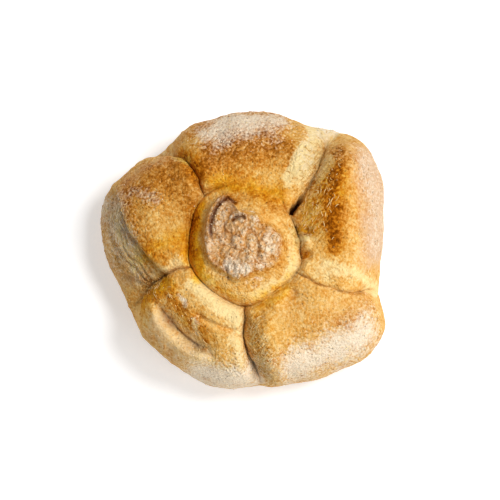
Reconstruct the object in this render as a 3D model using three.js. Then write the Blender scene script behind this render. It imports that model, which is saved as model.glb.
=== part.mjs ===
// Rosetta roll: five petals of dough round a raised crown with a torn cap.
// Millimetres, +Z up, the flat base on z = 0.
// Directions are degrees round the crown axis, from +X towards +Y.
// Plan points are [x, y] from the crown axis.
import * as THREE from 'three';
import { mergeVertices } from 'three/addons/utils/BufferGeometryUtils.js';

const { clamp, degToRad, euclideanModulo, lerp, smoothstep } = THREE.MathUtils;

const FULL_TURN = 360;

// Body: a dome above the widest level and a rounded foot below it
const RIM_LEVEL = 15;
const DOME_RISE = 26;
const DOME_POWER = 2.6;
const FOOT_POWER = 2.2;
const BASE_SHARE = 0.87;
const MEAN_REACH = 52;
const PETAL_SWELL = 1.6;

// Reach of each petal from the crown axis to the rim, in order round the crown:
// at the crease that starts it, then at even steps across it.
const TOP_PETAL = [55.4, 52.0, 53.1, 52.0, 50.6, 49.4];
const LEFT_PETAL = [48.7, 52.0, 54.8, 53.8, 50.5, 47.8];
const LOWER_LEFT_PETAL = [46.7, 47.7, 47.1, 48.3, 49.9, 49.6];
const LOWER_RIGHT_PETAL = [48.2, 50.0, 53.0, 55.4, 58.6, 58.0];
const RIGHT_PETAL = [51.4, 50.0, 50.7, 52.8, 57.6, 59.5];
const PETALS = [TOP_PETAL, LEFT_PETAL, LOWER_LEFT_PETAL, LOWER_RIGHT_PETAL, RIGHT_PETAL];

// Creases in the same order, each at the start of its petal.
// Turn and depth are given at the ring, halfway out and at the rim;
// the widths of the two rounded sides at the ring and at the rim.
const CREASES = [
  { turn: [35.4, 47.0, 52.5], depth: [7.0, 7.0, 12.0], before: [8, 12], after: [7, 13] },
  { turn: [128.0, 123.3, 131.0], depth: [4.5, 4.5, 8.0], before: [5, 10], after: [4, 7] },
  { turn: [201.0, 199.0, 205.0], depth: [4.5, 5.0, 8.0], before: [4, 7], after: [3, 7] },
  { turn: [270.5, 270.0, 276.5], depth: [4.5, 7.5, 10.0], before: [2.8, 4.5], after: [4.5, 11] },
  { turn: [332.0, 335.5, 344.0], depth: [2.4, 2.0, 6.0], before: [3.5, 6], after: [3.5, 6] },
];
const CREASE_FADE_LEVELS = [14, 30];
const CREASE_BLEND_POWER = 3;

// Open hole at the inner end of the crease between the right and top petals
const HOLE = { depth: 7, radii: [20.8, 22.2, 26, 28], halfWidths: [0.5, 1.8] };

// Crown: the ring crease round it as [turn, radius], nearly closed where it meets the top petal
const RING_STATIONS = [
  [8, 20.2],
  [37, 20.3],
  [56, 21.3],
  [90, 21.9],
  [106, 23.3],
  [125, 24.1],
  [142, 22.8],
  [163, 21.0],
  [180, 20.4],
  [195, 20.9],
  [228, 20.1],
  [250, 20.7],
  [270, 22.0],
  [284, 21.4],
  [309, 20.3],
  [330, 21.1],
  [345, 21.6],
];
const RING_SHARE = 0.4;
const RING_DEPTH = 5.8;
const RING_INNER_WIDTH = 8;
const RING_OUTER_WIDTH = 3.8;
const RING_BLEND = 0.6;
const FUSED = { turn: 78, halfSpread: 36, power: 6, share: 0.86 };
const CROWN_SWELL = 3.2;
const CROWN_SWELL_RADIUS = 20.8;

// Cap on the crown: its edge as [turn, radius], and the width of the slope inside it as [turn, width]
const CAP_RISE = 2.8;
const CAP_OVERHANG = 0.6;
const CAP_EDGE = [
  [0, 15.9],
  [14, 15.9],
  [27, 13.8],
  [48, 11.4],
  [90, 12.0],
  [100, 12.8],
  [112, 19.8],
  [120, 20.0],
  [138, 17.5],
  [150, 15.9],
  [185, 15.6],
  [220, 14.1],
  [252, 13.5],
  [288, 12.5],
  [305, 13.6],
  [322, 15.0],
];
const CAP_SLOPE = [
  [0, 5.5],
  [40, 3.2],
  [75, 2.2],
  [110, 1.8],
  [150, 2.4],
  [195, 3.2],
  [252, 2.2],
  [275, 2.4],
  [300, 4.0],
  [330, 5.5],
];

// Torn recess in the cap, between a thin lip and a second edge that follow these lines
const RECESS_LIP = { from: [-12.6, 0.5], to: [-6.3, 18.6], bow: 3.5 };
const RECESS_DEPTH = 2.4;
const RECESS_WIDTHS = [3, 12];
const RECESS_WIDEST_SHARE = 0.7;
const RECESS_WALL = [0.3, 3.2];
const RECESS_FLOOR_SHARE = 0.25;
const RECESS_TAIL = 0.5;
const RECESS_EDGE = { from: [-7.3, 18.8], to: [-2.2, 12.4], bow: 0.6 };
const RECESS_EDGE_WALL = [-0.6, 2.4];

// Curled flake at the recess, and the hollow under it
const FLAKE = { from: [-5.0, 9.2], to: [6.4, 8.2], bow: 2.9, height: 1.3, width: 1.7 };
const FLAKE_HOLLOW = { from: [-4.4, 7.8], to: [0.2, 9.0], bow: 1.0, height: -1.0, width: 1.6 };
const FLAKE_TAPER = 0.15;

// Fold in the lower left petal: an outer roll over a sunk band, and a groove inside it
const FOLD = { from: [-31.0, -20.4], to: [-13.0, -37.6], bow: -2.4 };
const FOLD_TAPER = 0.2;
const FOLD_RISE = 2.6;
const FOLD_ROUND = 5.0;
const FOLD_REACH = 15;
const FOLD_SINK = 2.6;
const FOLD_WALL = 3.2;
const FOLD_BAND = 11;
const FOLD_SLOPE_POWER = 2.6;
const INNER_GROOVE = { from: [-19.5, -23.4], to: [-3.6, -30.6], bow: -0.9, depth: 0.9, width: 1.2 };
const GROOVE_TAPER = 0.2;

// Ridge on the left petal, with the flank below it set back
const LEFT_RIDGE = { from: [-46.4, 24.6], to: [-25.4, -11.3], bow: -2.9 };
const LEFT_RIDGE_TAPER = 0.1;
const LEFT_FLANK_SINK = 3.8;
const LEFT_RIDGE_ROUND = 6.0;

// Soft ridges on the right and lower right petals, with the widths left and right of each line
const SOFT_RIDGES = [
  { from: [35.0, 42.0], to: [34.0, -9.0], bow: -1.0, rise: 3.4, left: 9, right: 10 },
  { from: [3.4, -24.0], to: [11.0, -48.0], bow: 0.8, rise: 1.8, left: 7, right: 4 },
];
const SOFT_RIDGE_TAPER = 0.18;

// The forms on the flanks fade out between these levels, so that the rim keeps its reach
const FLANK_FADE_LEVELS = [15, 25];

// Small knobs of dough squeezed out beside the ring
const KNOBS = [
  { at: [22.1, 1.7], radius: 3.4, rise: 2.4 },
  { at: [20.5, -9.0], radius: 3.0, rise: 1.4 },
  { at: [11.5, -20.5], radius: 3.0, rise: 1.6 },
];

// Slow unevenness of the dough: two crossed waves
const UNEVEN_LEVELS = [5, 24];
const STRAIGHT_WAVE = { rise: 0.7, lengthX: 7.3, lengthY: 8.9, startX: 1.1, startY: 0.4 };
const SLANTED_WAVE = { rise: 0.45, lengthSum: 5.1, lengthDifference: 6.3, start: 2.0 };

// How steeply a rounded step rises from its foot
const STEP_POWER = 2.4;

// Mesh: columns across a petal, drawn together towards its creases,
// and rows of each zone, drawn together towards the ring
const COLUMNS_PER_PETAL = 21;
const COLUMN_DRAW = 0.6;
const CROWN_ROWS = 23;
const PETAL_ROWS = 25;
const FOOT_ROWS = 7;
const BASE_ROWS = 3;
const ROW_DRAW = 1.35;
const MERGE_DISTANCE = 1e-4;

// Colour of the crust, half brown and half floured
const CRUST = { color: 0xd9a964, roughness: 0.85, metalness: 0 };

// Falling counterpart of smoothstep: 1 below low, 0 above high
function smoothFall(value, low, high) {
  return 1 - smoothstep(value, low, high);
}

// Angle from one direction to another, between -180 and 180 degrees
function turnBetween(from, to) {
  return euclideanModulo(to - from + FULL_TURN / 2, FULL_TURN) - FULL_TURN / 2;
}

// Quadratic through three values at shares 0, 1/2 and 1
function throughThree([first, middle, last], share) {
  const rest = 1 - share;
  return first * rest * (rest - share) + middle * 4 * share * rest + last * share * (share - rest);
}

// Closed Catmull-Rom curve through [turn, value] stations in rising order of turn
function aroundLoop(stations, turn) {
  const count = stations.length;
  const start = stations[0][0];
  const wrapped = start + euclideanModulo(turn - start, FULL_TURN);
  let index = count - 1;
  while (stations[index][0] > wrapped) {
    index -= 1;
  }
  const next = index + 1 < count ? stations[index + 1][0] : start + FULL_TURN;
  const share = (wrapped - stations[index][0]) / (next - stations[index][0]);
  const value = (step) => stations[euclideanModulo(index + step, count)][1];
  const slopeIn = (value(1) - value(-1)) / 2;
  const slopeOut = (value(2) - value(0)) / 2;
  const squared = share * share;
  const cubed = squared * share;
  return (
    value(0) * (2 * cubed - 3 * squared + 1) +
    slopeIn * (cubed - 2 * squared + share) +
    value(1) * (3 * squared - 2 * cubed) +
    slopeOut * (cubed - squared)
  );
}

// Place beside a bowed line: share along it, and distance to its left
function besideLine(line, x, y) {
  const [fromX, fromY] = line.from;
  const runX = line.to[0] - fromX;
  const runY = line.to[1] - fromY;
  const length = Math.hypot(runX, runY);
  const alongX = runX / length;
  const alongY = runY / length;
  const share = ((x - fromX) * alongX + (y - fromY) * alongY) / length;
  const inside = clamp(share, 0, 1);
  const left = (y - fromY) * alongX - (x - fromX) * alongY - line.bow * 4 * inside * (1 - inside);
  return { share, left };
}

// 1 along a line, falling to 0 round its two ends
function taper(share, reach) {
  return smoothstep(share, -reach, reach) * smoothstep(1 - share, -reach, reach);
}

// Gap between two touching rounds: 1 where they meet, 0 from a distance of one width
function cusp(distance) {
  const near = 1 - clamp(Math.abs(distance), 0, 1);
  return 1 - Math.sqrt(1 - near * near);
}

// Step with a steep foot and a rounded shoulder, from 0 to 1
function roundedStep(share) {
  return 1 - (1 - clamp(share, 0, 1)) ** STEP_POWER;
}

// Bell of height 1 that falls away over a width
function bell(distance, width) {
  return Math.exp(-((distance / width) ** 2));
}

// Share of the way from the ring to the rim
function outwardShare(share) {
  return clamp((share - RING_SHARE) / (1 - RING_SHARE), 0, 1);
}

// Reach of the rim: stations of all petals, in order of turn
const RIM_STATIONS = PETALS.flatMap((petal, index) => {
  const start = CREASES[index].turn[2];
  const end = CREASES[(index + 1) % CREASES.length].turn[2];
  const span = euclideanModulo(end - start, FULL_TURN);
  return petal.map((reach, step) => [start + (span * step) / petal.length, reach]);
});

// Distance from a crease line, negative on the side of the petal before it
function besideCrease(crease, place) {
  const creaseTurn = throughThree(crease.turn, outwardShare(place.share));
  return degToRad(turnBetween(creaseTurn, place.turn)) * place.radius;
}

// Depth of all creases and the ring together; the power blends them where they meet
function creaseDepth(place) {
  const outward = outwardShare(place.share);
  const open = smoothstep(place.pastRing, -RING_BLEND, RING_BLEND);
  const high = smoothstep(place.level, ...CREASE_FADE_LEVELS);
  let total = 0;
  for (const crease of CREASES) {
    const distance = besideCrease(crease, place);
    const width = lerp(...(distance < 0 ? crease.before : crease.after), outward);
    const depth = throughThree(crease.depth, outward) * open * high * cusp(distance / width);
    total += depth ** CREASE_BLEND_POWER;
  }
  const fused = Math.exp(-((turnBetween(FUSED.turn, place.turn) / FUSED.halfSpread) ** FUSED.power));
  const ringWidth = place.pastRing < 0 ? RING_INNER_WIDTH : RING_OUTER_WIDTH;
  const ringDepth = RING_DEPTH * (1 - FUSED.share * fused) * cusp(place.pastRing / ringWidth);
  total += ringDepth ** CREASE_BLEND_POWER;
  return total ** (1 / CREASE_BLEND_POWER);
}

// Hole that goes on down at the inner end of the first crease
function holeDepth(place) {
  const [start, full, lessening, end] = HOLE.radii;
  const along = smoothstep(place.radius, start, full) * smoothFall(place.radius, lessening, end);
  const across = smoothFall(Math.abs(besideCrease(CREASES[0], place)), ...HOLE.halfWidths);
  return HOLE.depth * along * across;
}

// Swell of the crown with the cap on it
function crownRise({ radius, turn }) {
  const swell = CROWN_SWELL * clamp(1 - (radius / CROWN_SWELL_RADIUS) ** 2, 0, 1);
  const inside = aroundLoop(CAP_EDGE, turn) - radius;
  return swell + CAP_RISE * smoothstep(inside, -CAP_OVERHANG, aroundLoop(CAP_SLOPE, turn));
}

// Recess in the cap: steep at the lip and at its second edge, with a floor that comes up slowly
function recessDepth({ x, y }) {
  const { share, left } = besideLine(RECESS_LIP, x, y);
  const width = lerp(...RECESS_WIDTHS, smoothstep(share, 0, RECESS_WIDEST_SHARE));
  const wall = smoothstep(-left, ...RECESS_WALL);
  const floor = smoothFall(-left / width, RECESS_FLOOR_SHARE, 1);
  const tail = smoothstep(share, 0, RECESS_TAIL);
  const edge = smoothstep(-besideLine(RECESS_EDGE, x, y).left, ...RECESS_EDGE_WALL);
  return RECESS_DEPTH * wall * floor * tail * edge;
}

// Curled flake with the hollow under it
function flakeRise({ x, y }) {
  let rise = 0;
  for (const form of [FLAKE, FLAKE_HOLLOW]) {
    const { share, left } = besideLine(form, x, y);
    rise += form.height * taper(share, FLAKE_TAPER) * bell(left, form.width);
  }
  return rise;
}

// Outer roll of the lower left petal over its sunk band, with the groove inside
function foldRise({ x, y, level }) {
  const fold = besideLine(FOLD, x, y);
  const along = taper(fold.share, FOLD_TAPER);
  const fade = smoothstep(level, ...FLANK_FADE_LEVELS);
  const roll = FOLD_RISE * roundedStep(-fold.left / FOLD_ROUND) * bell(Math.min(fold.left, 0), FOLD_REACH);
  const slope = (1 - clamp(fold.left / FOLD_BAND, 0, 1)) ** FOLD_SLOPE_POWER;
  const sink = FOLD_SINK * (fold.left < 0 ? smoothstep(fold.left, -FOLD_WALL, 0) : slope);
  const groove = besideLine(INNER_GROOVE, x, y);
  const grooveDepth = INNER_GROOVE.depth * taper(groove.share, GROOVE_TAPER);
  return along * (roll * fade - sink) - grooveDepth * bell(groove.left, INNER_GROOVE.width);
}

// Flank of the left petal, set back below its ridge
function flankDepth({ x, y, level }) {
  const { share, left } = besideLine(LEFT_RIDGE, x, y);
  const fade = taper(share, LEFT_RIDGE_TAPER) * smoothstep(level, ...FLANK_FADE_LEVELS);
  return LEFT_FLANK_SINK * fade * (1 - roundedStep(left / LEFT_RIDGE_ROUND + 1));
}

// Swell of the petals between ring and rim, with soft ridges and knobs on it
function swellRise({ x, y, share }) {
  let rise = PETAL_SWELL * Math.sin(Math.PI * outwardShare(share));
  for (const ridge of SOFT_RIDGES) {
    const { share, left } = besideLine(ridge, x, y);
    rise += ridge.rise * taper(share, SOFT_RIDGE_TAPER) * bell(left, left > 0 ? ridge.left : ridge.right);
  }
  for (const knob of KNOBS) {
    rise += knob.rise * bell(Math.hypot(x - knob.at[0], y - knob.at[1]), knob.radius);
  }
  return rise;
}

// Slow waves of the dough
function unevenRise({ x, y, level }) {
  const straight = STRAIGHT_WAVE;
  const slanted = SLANTED_WAVE;
  const crossed =
    Math.sin(x / straight.lengthX + straight.startX) * Math.sin(y / straight.lengthY + straight.startY);
  const diagonal =
    Math.sin((x + y) / slanted.lengthSum + slanted.start) * Math.sin((x - y) / slanted.lengthDifference);
  return (straight.rise * crossed + slanted.rise * diagonal) * smoothstep(level, ...UNEVEN_LEVELS);
}

// Rise of the crust over the plain dome, along the dome's normal
function relief(place) {
  return (
    crownRise(place) +
    flakeRise(place) +
    foldRise(place) +
    swellRise(place) +
    unevenRise(place) -
    creaseDepth(place) -
    holeDepth(place) -
    recessDepth(place) -
    flankDepth(place)
  );
}

// Point of the meridian on the dome, at a share of the reach
function domeRow(share) {
  const level = RIM_LEVEL + DOME_RISE * (1 - share ** DOME_POWER) ** (1 / DOME_POWER);
  const steepness = share ** (DOME_POWER - 1) / MEAN_REACH;
  const flatness = ((level - RIM_LEVEL) / DOME_RISE) ** (DOME_POWER - 1) / DOME_RISE;
  return { share, level, outward: steepness, upward: flatness, fade: 1 };
}

// Point of the meridian on the foot, at an angle down from the rim
function footRow(angle) {
  const inset = Math.cos(angle) ** (2 / FOOT_POWER);
  const drop = Math.sin(angle) ** (2 / FOOT_POWER);
  const level = RIM_LEVEL * (1 - drop);
  const steepness = inset ** (FOOT_POWER - 1) / ((1 - BASE_SHARE) * MEAN_REACH);
  const flatness = -(drop ** (FOOT_POWER - 1)) / RIM_LEVEL;
  const share = lerp(BASE_SHARE, 1, inset);
  return { share, level, outward: steepness, upward: flatness, fade: smoothstep(level, 0, RIM_LEVEL) };
}

// Point of the meridian on the flat base
function baseRow(share) {
  return { share, level: 0, outward: 0, upward: -1, fade: 0 };
}

// Rows of the meridian from the top of the crown to the middle of the base
function meridianRows() {
  const rows = [];
  for (let step = 0; step < CROWN_ROWS; step += 1) {
    rows.push(domeRow(RING_SHARE * (1 - (1 - step / CROWN_ROWS) ** ROW_DRAW)));
  }
  const ringAngle = Math.asin(RING_SHARE ** (DOME_POWER / 2));
  for (let step = 0; step < PETAL_ROWS; step += 1) {
    const angle = lerp(ringAngle, Math.PI / 2, (step / PETAL_ROWS) ** ROW_DRAW);
    rows.push(domeRow(Math.sin(angle) ** (2 / DOME_POWER)));
  }
  for (let step = 0; step < FOOT_ROWS; step += 1) {
    rows.push(footRow(((Math.PI / 2) * step) / FOOT_ROWS));
  }
  for (let step = 0; step <= BASE_ROWS; step += 1) {
    rows.push(baseRow(BASE_SHARE * (1 - step / BASE_ROWS)));
  }
  return rows;
}

// Plan radius at a share of the way out: first to the ring, then on to the rim
function planRadius(row, ring, reach, onDome) {
  if (!onDome) {
    return reach * row.share;
  }
  if (row.share < RING_SHARE) {
    return (ring * row.share) / RING_SHARE;
  }
  return lerp(ring, reach, outwardShare(row.share));
}

// Direction of a column in a row: creases stay on columns of their own
function columnTurn(column, row, onDome) {
  const outward = onDome ? outwardShare(row.share) : 1;
  const petal = Math.floor(column / COLUMNS_PER_PETAL) % PETALS.length;
  const even = (column % COLUMNS_PER_PETAL) / COLUMNS_PER_PETAL;
  const across = even - (COLUMN_DRAW * Math.sin(2 * Math.PI * even)) / (2 * Math.PI);
  const start = throughThree(CREASES[petal].turn, outward);
  const end = throughThree(CREASES[(petal + 1) % CREASES.length].turn, outward);
  return start + euclideanModulo(end - start, FULL_TURN) * across;
}

// Point of the crust in a column of a row
function crustPoint(column, row, onDome) {
  const turn = columnTurn(column, row, onDome);
  const ring = aroundLoop(RING_STATIONS, turn);
  const radius = planRadius(row, ring, aroundLoop(RIM_STATIONS, turn), onDome);
  const pastRing = radius - ring;
  const cosine = Math.cos(degToRad(turn));
  const sine = Math.sin(degToRad(turn));
  const { level, share } = row;
  const place = { x: radius * cosine, y: radius * sine, level, radius, pastRing, turn, share };
  const rise = (relief(place) * row.fade) / Math.hypot(row.outward, row.upward);
  const moved = radius + rise * row.outward;
  return new THREE.Vector3(moved * cosine, moved * sine, row.level + rise * row.upward);
}

// Roll as one closed skin: the grid of a ball, with its points moved onto the crust
function rollGeometry() {
  const rows = meridianRows();
  const columns = COLUMNS_PER_PETAL * PETALS.length;
  const ball = new THREE.SphereGeometry(1, columns, rows.length - 1);
  ball.deleteAttribute('uv');
  ball.deleteAttribute('normal');
  const points = ball.getAttribute('position');
  rows.forEach((row, rowIndex) => {
    const onDome = rowIndex < CROWN_ROWS + PETAL_ROWS;
    for (let column = 0; column <= columns; column += 1) {
      const point = crustPoint(column % columns, row, onDome);
      points.setXYZ(rowIndex * (columns + 1) + column, point.x, point.y, point.z);
    }
  });
  const skin = mergeVertices(ball, MERGE_DISTANCE);
  skin.computeBoundingBox();
  const middle = skin.boundingBox.getCenter(new THREE.Vector3());
  skin.translate(-middle.x, -middle.y, 0);
  skin.computeVertexNormals();
  return skin;
}

const roll = new THREE.Mesh(rollGeometry(), new THREE.MeshStandardMaterial(CRUST));
roll.name = 'roll';

const rosettaRoll = new THREE.Group();
rosettaRoll.name = 'rosetta_roll';
rosettaRoll.add(roll);

export default rosettaRoll;
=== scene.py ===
"""Rosetta roll: the baked crust of five petals round a capped crown, on a pale studio floor.

Sizes of the roll are millimetres in its plan, measured from the crown axis.
Directions are degrees round that axis, from +X towards +Y.
"""

import itertools
import logging
import math
from dataclasses import dataclass, field, replace
from enum import Enum
from typing import Any

import bpy
import numpy as np
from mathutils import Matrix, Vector


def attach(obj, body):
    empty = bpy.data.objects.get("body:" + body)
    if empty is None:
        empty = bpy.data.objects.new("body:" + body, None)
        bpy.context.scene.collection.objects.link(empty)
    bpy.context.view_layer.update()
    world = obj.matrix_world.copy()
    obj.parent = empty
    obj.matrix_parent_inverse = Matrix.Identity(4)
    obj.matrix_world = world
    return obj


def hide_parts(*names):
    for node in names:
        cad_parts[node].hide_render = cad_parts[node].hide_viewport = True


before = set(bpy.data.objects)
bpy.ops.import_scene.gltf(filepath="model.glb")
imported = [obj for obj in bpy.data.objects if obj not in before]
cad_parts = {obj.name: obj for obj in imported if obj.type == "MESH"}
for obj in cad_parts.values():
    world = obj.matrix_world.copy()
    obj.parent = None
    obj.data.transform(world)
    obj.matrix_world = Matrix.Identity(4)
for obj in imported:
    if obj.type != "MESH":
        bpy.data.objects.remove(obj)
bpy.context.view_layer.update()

Grid = np.ndarray
Point = tuple[float, float]
Trio = tuple[float, float, float]
Row = tuple[float, ...]
Colour = tuple[float, float, float, float]
Socket = bpy.types.NodeSocket

LOG = logging.getLogger("rosetta_roll")
METRE = 0.001
FULL_TURN = 360.0
TINY = 1e-9
WHITE = (1.0, 1.0, 1.0, 1.0)
LATTICE_TILT = np.linalg.qr(np.array([[2.0, 1.0, 0.6], [-0.7, 1.8, 0.9], [0.4, -1.1, 2.3]]))[0]
CORNER_FACTORS = (73856093, 19349663, 83492791)
SEED_FACTOR = 2654435
MIXING_STEPS = ((13, 1274126177), (15, 40503))
MIXING_MASK = 0x7FFFFFFF
LAST_SHIFT = 11
SHARE_MASK = 0xFFFF
BYTE_TOP = 255
SRGB_KNEE = 0.04045
SRGB_SLOPE = 12.92
SRGB_OFFSET = 0.055
SRGB_POWER = 2.4
NOISE_MIDDLE = 0.5
NOISE_DETAIL = 3.0
NOISE_ROUGHNESS = 0.6
MIX_FIRST_VALUE = 2
MIX_SECOND_VALUE = 3
MIX_FIRST_COLOUR = 6
MIX_SECOND_COLOUR = 7
MIX_COLOUR = 2
GRAIN_OUTPUTS = ("Mottle", "Patch", "Grain", "Crumb", "Speck", "Pore", "Height")


def smooth_rise(value: Grid, low: float, high: float) -> Grid:
    """Cubic blend from 0 at low to 1 at high, level at both ends."""
    share = np.clip((value - low) / (high - low), 0.0, 1.0)
    return share * share * (3.0 - 2.0 * share)


def smooth_fall(value: Grid, low: float, high: float) -> Grid:
    """One minus smooth_rise."""
    return 1.0 - smooth_rise(value, low, high)


def bell(distance: Grid, width: Grid | float) -> Grid:
    """Gaussian bell of height 1, one width wide to each side."""
    return np.exp(-((distance / width) ** 2))


def cusp(distance: Grid) -> Grid:
    """Gap between two touching quarter rounds: 1 where they meet, 0 from a distance of 1."""
    near = 1.0 - np.clip(np.abs(distance), 0.0, 1.0)
    return 1.0 - np.sqrt(1.0 - near * near)


def rounded_step(share: Grid, power: float = 2.4) -> Grid:
    """Step from 0 to 1 with a steep foot and a rounded shoulder: one minus a falling power."""
    return 1.0 - (1.0 - np.clip(share, 0.0, 1.0)) ** power


def taper(share: Grid, reach: float) -> Grid:
    """1 along a line, falling to 0 within reach of each end."""
    return smooth_rise(share, -reach, reach) * smooth_rise(1.0 - share, -reach, reach)


def through_three(values: Trio, share: Grid) -> Grid:
    """Quadratic through three values.

    Args:
        values: Values at shares 0, 1/2 and 1.
        share: Where the quadratic is read.

    Returns:
        The quadratic's values.
    """
    first, middle, last = values
    rest = 1.0 - share
    return first * rest * (rest - share) + middle * 4.0 * share * rest + last * share * (share - rest)


def turn_between(start: Grid | float, end: Grid) -> Grid:
    """Angle from one direction to another, between -180 and 180 degrees."""
    return (end - start + FULL_TURN / 2) % FULL_TURN - FULL_TURN / 2


def around_loop(turns: Grid | Row, values: Grid | Row, turn: Grid) -> Grid:
    """Closed Catmull-Rom curve: a cubic between stations, with slopes from their neighbours.

    Args:
        turns: Directions of the stations, rising.
        values: Values at the stations.
        turn: Directions where the curve is read.

    Returns:
        The curve's values.
    """
    turns = np.asarray(turns)
    values = np.asarray(values)
    count = len(turns)
    closed = np.append(turns, turns[0] + FULL_TURN)
    wrapped = turns[0] + (turn - turns[0]) % FULL_TURN
    index = np.clip(np.searchsorted(closed, wrapped, side="right") - 1, 0, count - 1)
    share = (wrapped - closed[index]) / (closed[index + 1] - closed[index])
    before, here, after, beyond = (values[(index + step) % count] for step in (-1, 0, 1, 2))
    slope_in = (after - before) / 2
    slope_out = (beyond - here) / 2
    squared = share * share
    cubed = squared * share
    return (
        here * (2 * cubed - 3 * squared + 1)
        + slope_in * (cubed - 2 * squared + share)
        + after * (3 * squared - 2 * cubed)
        + slope_out * (cubed - squared)
    )


def crossed_waves(first: Grid, second: Grid, lengths: Point, shifts: Point) -> Grid:
    """Product of two sines, each with its own length and shift."""
    return np.sin(first / lengths[0] + shifts[0]) * np.sin(second / lengths[1] + shifts[1])


def with_poles(values: Grid) -> Grid:
    """Values of a grid in one row, with one value for its first row and one for its last."""
    middle = values[1:-1].reshape(-1, *values.shape[2:])
    return np.concatenate([values[0, :1], middle, values[-1, :1]])


def tube_quads(index: Grid) -> Grid:
    """Quads between rows of points that close round on themselves.

    Args:
        index: Numbers of the points, with rows and columns in the last two axes.

    Returns:
        Four numbers for each quad.
    """
    beside = np.roll(index, -1, axis=-1)
    corners = [index[..., :-1, :], index[..., 1:, :], beside[..., 1:, :], beside[..., :-1, :]]
    return np.stack(corners, axis=-1).reshape(-1, len(corners))


def pick(picker: np.random.Generator, weight: Grid, count: int) -> Grid:
    """Numbers of grid points picked at random by their weight, none twice."""
    return picker.choice(weight.size, count, replace=False, p=weight.ravel() / weight.sum())


def mostly_small(picker: np.random.Generator, sizes: Point, count: int) -> Grid:
    """Random sizes, more of them small: squares of even random shares between two sizes."""
    return sizes[0] + (sizes[1] - sizes[0]) * picker.random(count) ** 2


@dataclass(frozen=True)
class Place:
    """Places on the plain body, as arrays of one shape."""

    x: Grid
    y: Grid
    level: Grid
    radius: Grid
    turn: Grid
    outward: Grid
    past_ring: Grid

    def points(self) -> Grid:
        """The places as x, y and z in the last axis."""
        return np.stack([self.x, self.y, self.level], axis=-1)


@dataclass(frozen=True)
class DoughNoise:
    """Smooth random field in space, made from numbers on the corners of a lattice."""

    seed: int
    size: float = 1.0
    height: float = 1.0
    layers: int = 2

    def corner(self, column: Grid, row: Grid, layer: Grid) -> Grid:
        """Random number of a lattice corner: its indices times large factors, mixed by bit shifts.

        Args:
            column: First index of the corner.
            row: Second index of the corner.
            layer: Third index of the corner.

        Returns:
            The number, between 0 and 1.
        """
        mixed = self.seed * SEED_FACTOR
        for index, factor in zip((column, row, layer), CORNER_FACTORS):
            mixed = mixed ^ index * factor
        for shift, factor in MIXING_STEPS:
            mixed = (mixed ^ (mixed >> shift)) * factor & MIXING_MASK
        return ((mixed ^ (mixed >> LAST_SHIFT)) & SHARE_MASK) / SHARE_MASK

    def field(self, points: Grid) -> Grid:
        """Blend of the eight corner numbers round each point, weighted by quintics 6t^5 - 15t^4 + 10t^3.

        Args:
            points: Places, with x, y and z in the last axis.

        Returns:
            The field, between -1 and 1.
        """
        scaled = points @ LATTICE_TILT / self.size
        cell = np.floor(scaled).astype(np.int64)
        inside = scaled - cell
        weight = inside**3 * (inside * (inside * 6.0 - 15.0) + 10.0)
        total = np.zeros(points.shape[:-1])
        for step in itertools.product((0, 1), repeat=3):
            part = np.prod(np.where(np.array(step) == 1, weight, 1.0 - weight), axis=-1)
            total += part * self.corner(*np.moveaxis(cell + np.array(step), -1, 0))
        return 2.0 * total - 1.0

    def at(self, place: Place) -> Grid:
        """Height times a sum of fields, each half as large as the one before, and turned.

        Args:
            place: Places on the body.

        Returns:
            The sum.
        """
        points = place.points()
        total = np.zeros(points.shape[:-1])
        for layer in range(self.layers):
            finer = 2.0**layer
            total += DoughNoise(self.seed + layer, self.size / finer).field(points) / finer
            points = points @ LATTICE_TILT
        return self.height * total


@dataclass(frozen=True)
class Blisters(DoughNoise):
    """Low round blisters, one at a random point of some cells of the lattice."""

    radius: float = 1.1
    share: float = 0.55
    least: float = 0.45
    place_seed: int = 31
    own_seed: int = 77

    def at(self, place: Place) -> Grid:
        """Height times domes: 1 minus the squared distance over the radius of each.

        Args:
            place: Places on the body.

        Returns:
            The highest dome at each place.
        """
        points = place.points()
        cell = np.floor(points / self.size).astype(np.int64)
        domes = np.zeros(points.shape[:-1])
        for step in itertools.product((-1, 0, 1), repeat=3):
            corner = np.moveaxis(cell + np.array(step), -1, 0)
            inside = [DoughNoise(self.seed + self.place_seed + axis).corner(*corner) for axis in range(3)]
            centre = (np.moveaxis(corner, 0, -1) + np.stack(inside, axis=-1)) * self.size
            own = DoughNoise(self.seed + self.own_seed).corner(*corner)
            reach = self.radius * (self.least + (1.0 - self.least) * own / self.share)
            distance = np.linalg.norm(points - centre, axis=-1) / reach
            domes = np.maximum(domes, np.clip(1.0 - distance**2, 0.0, 1.0) * (own < self.share))
        return self.height * domes


@dataclass(frozen=True)
class BowedLine:
    """Line on the plan, bowed to its left by bow at its middle."""

    start: Point
    end: Point
    bow: float

    def beside(self, place: Place) -> tuple[Grid, Grid]:
        """Share along the line and distance to its left, less a parabola of the bow.

        Args:
            place: Places on the body.

        Returns:
            The shares and the distances.
        """
        run = np.subtract(self.end, self.start)
        length = np.hypot(*run)
        along_x, along_y = run / length
        from_x = place.x - self.start[0]
        from_y = place.y - self.start[1]
        share = (from_x * along_x + from_y * along_y) / length
        inside = np.clip(share, 0.0, 1.0)
        left = from_y * along_x - from_x * along_y - self.bow * 4.0 * inside * (1.0 - inside)
        return share, left


@dataclass(frozen=True)
class Band(BowedLine):
    """Soft band along a line, with its half width, its amount and another half width to the left."""

    width: float
    amount: float
    left_width: float = 0.0

    def cover(self, place: Place, end_taper: float, shift: Grid | float = 0.0) -> Grid:
        """Amount of the band: a bell across the line, tapered at its ends.

        Args:
            place: Places on the body.
            end_taper: Share of the line within which the band falls at each end.
            shift: How far the band lies to the right of its line.

        Returns:
            The amount at each place.
        """
        share, left = self.beside(place)
        aside = left + shift
        width = np.where(aside > 0, self.left_width or self.width, self.width)
        return self.amount * taper(share, end_taper) * bell(aside, width)


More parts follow.
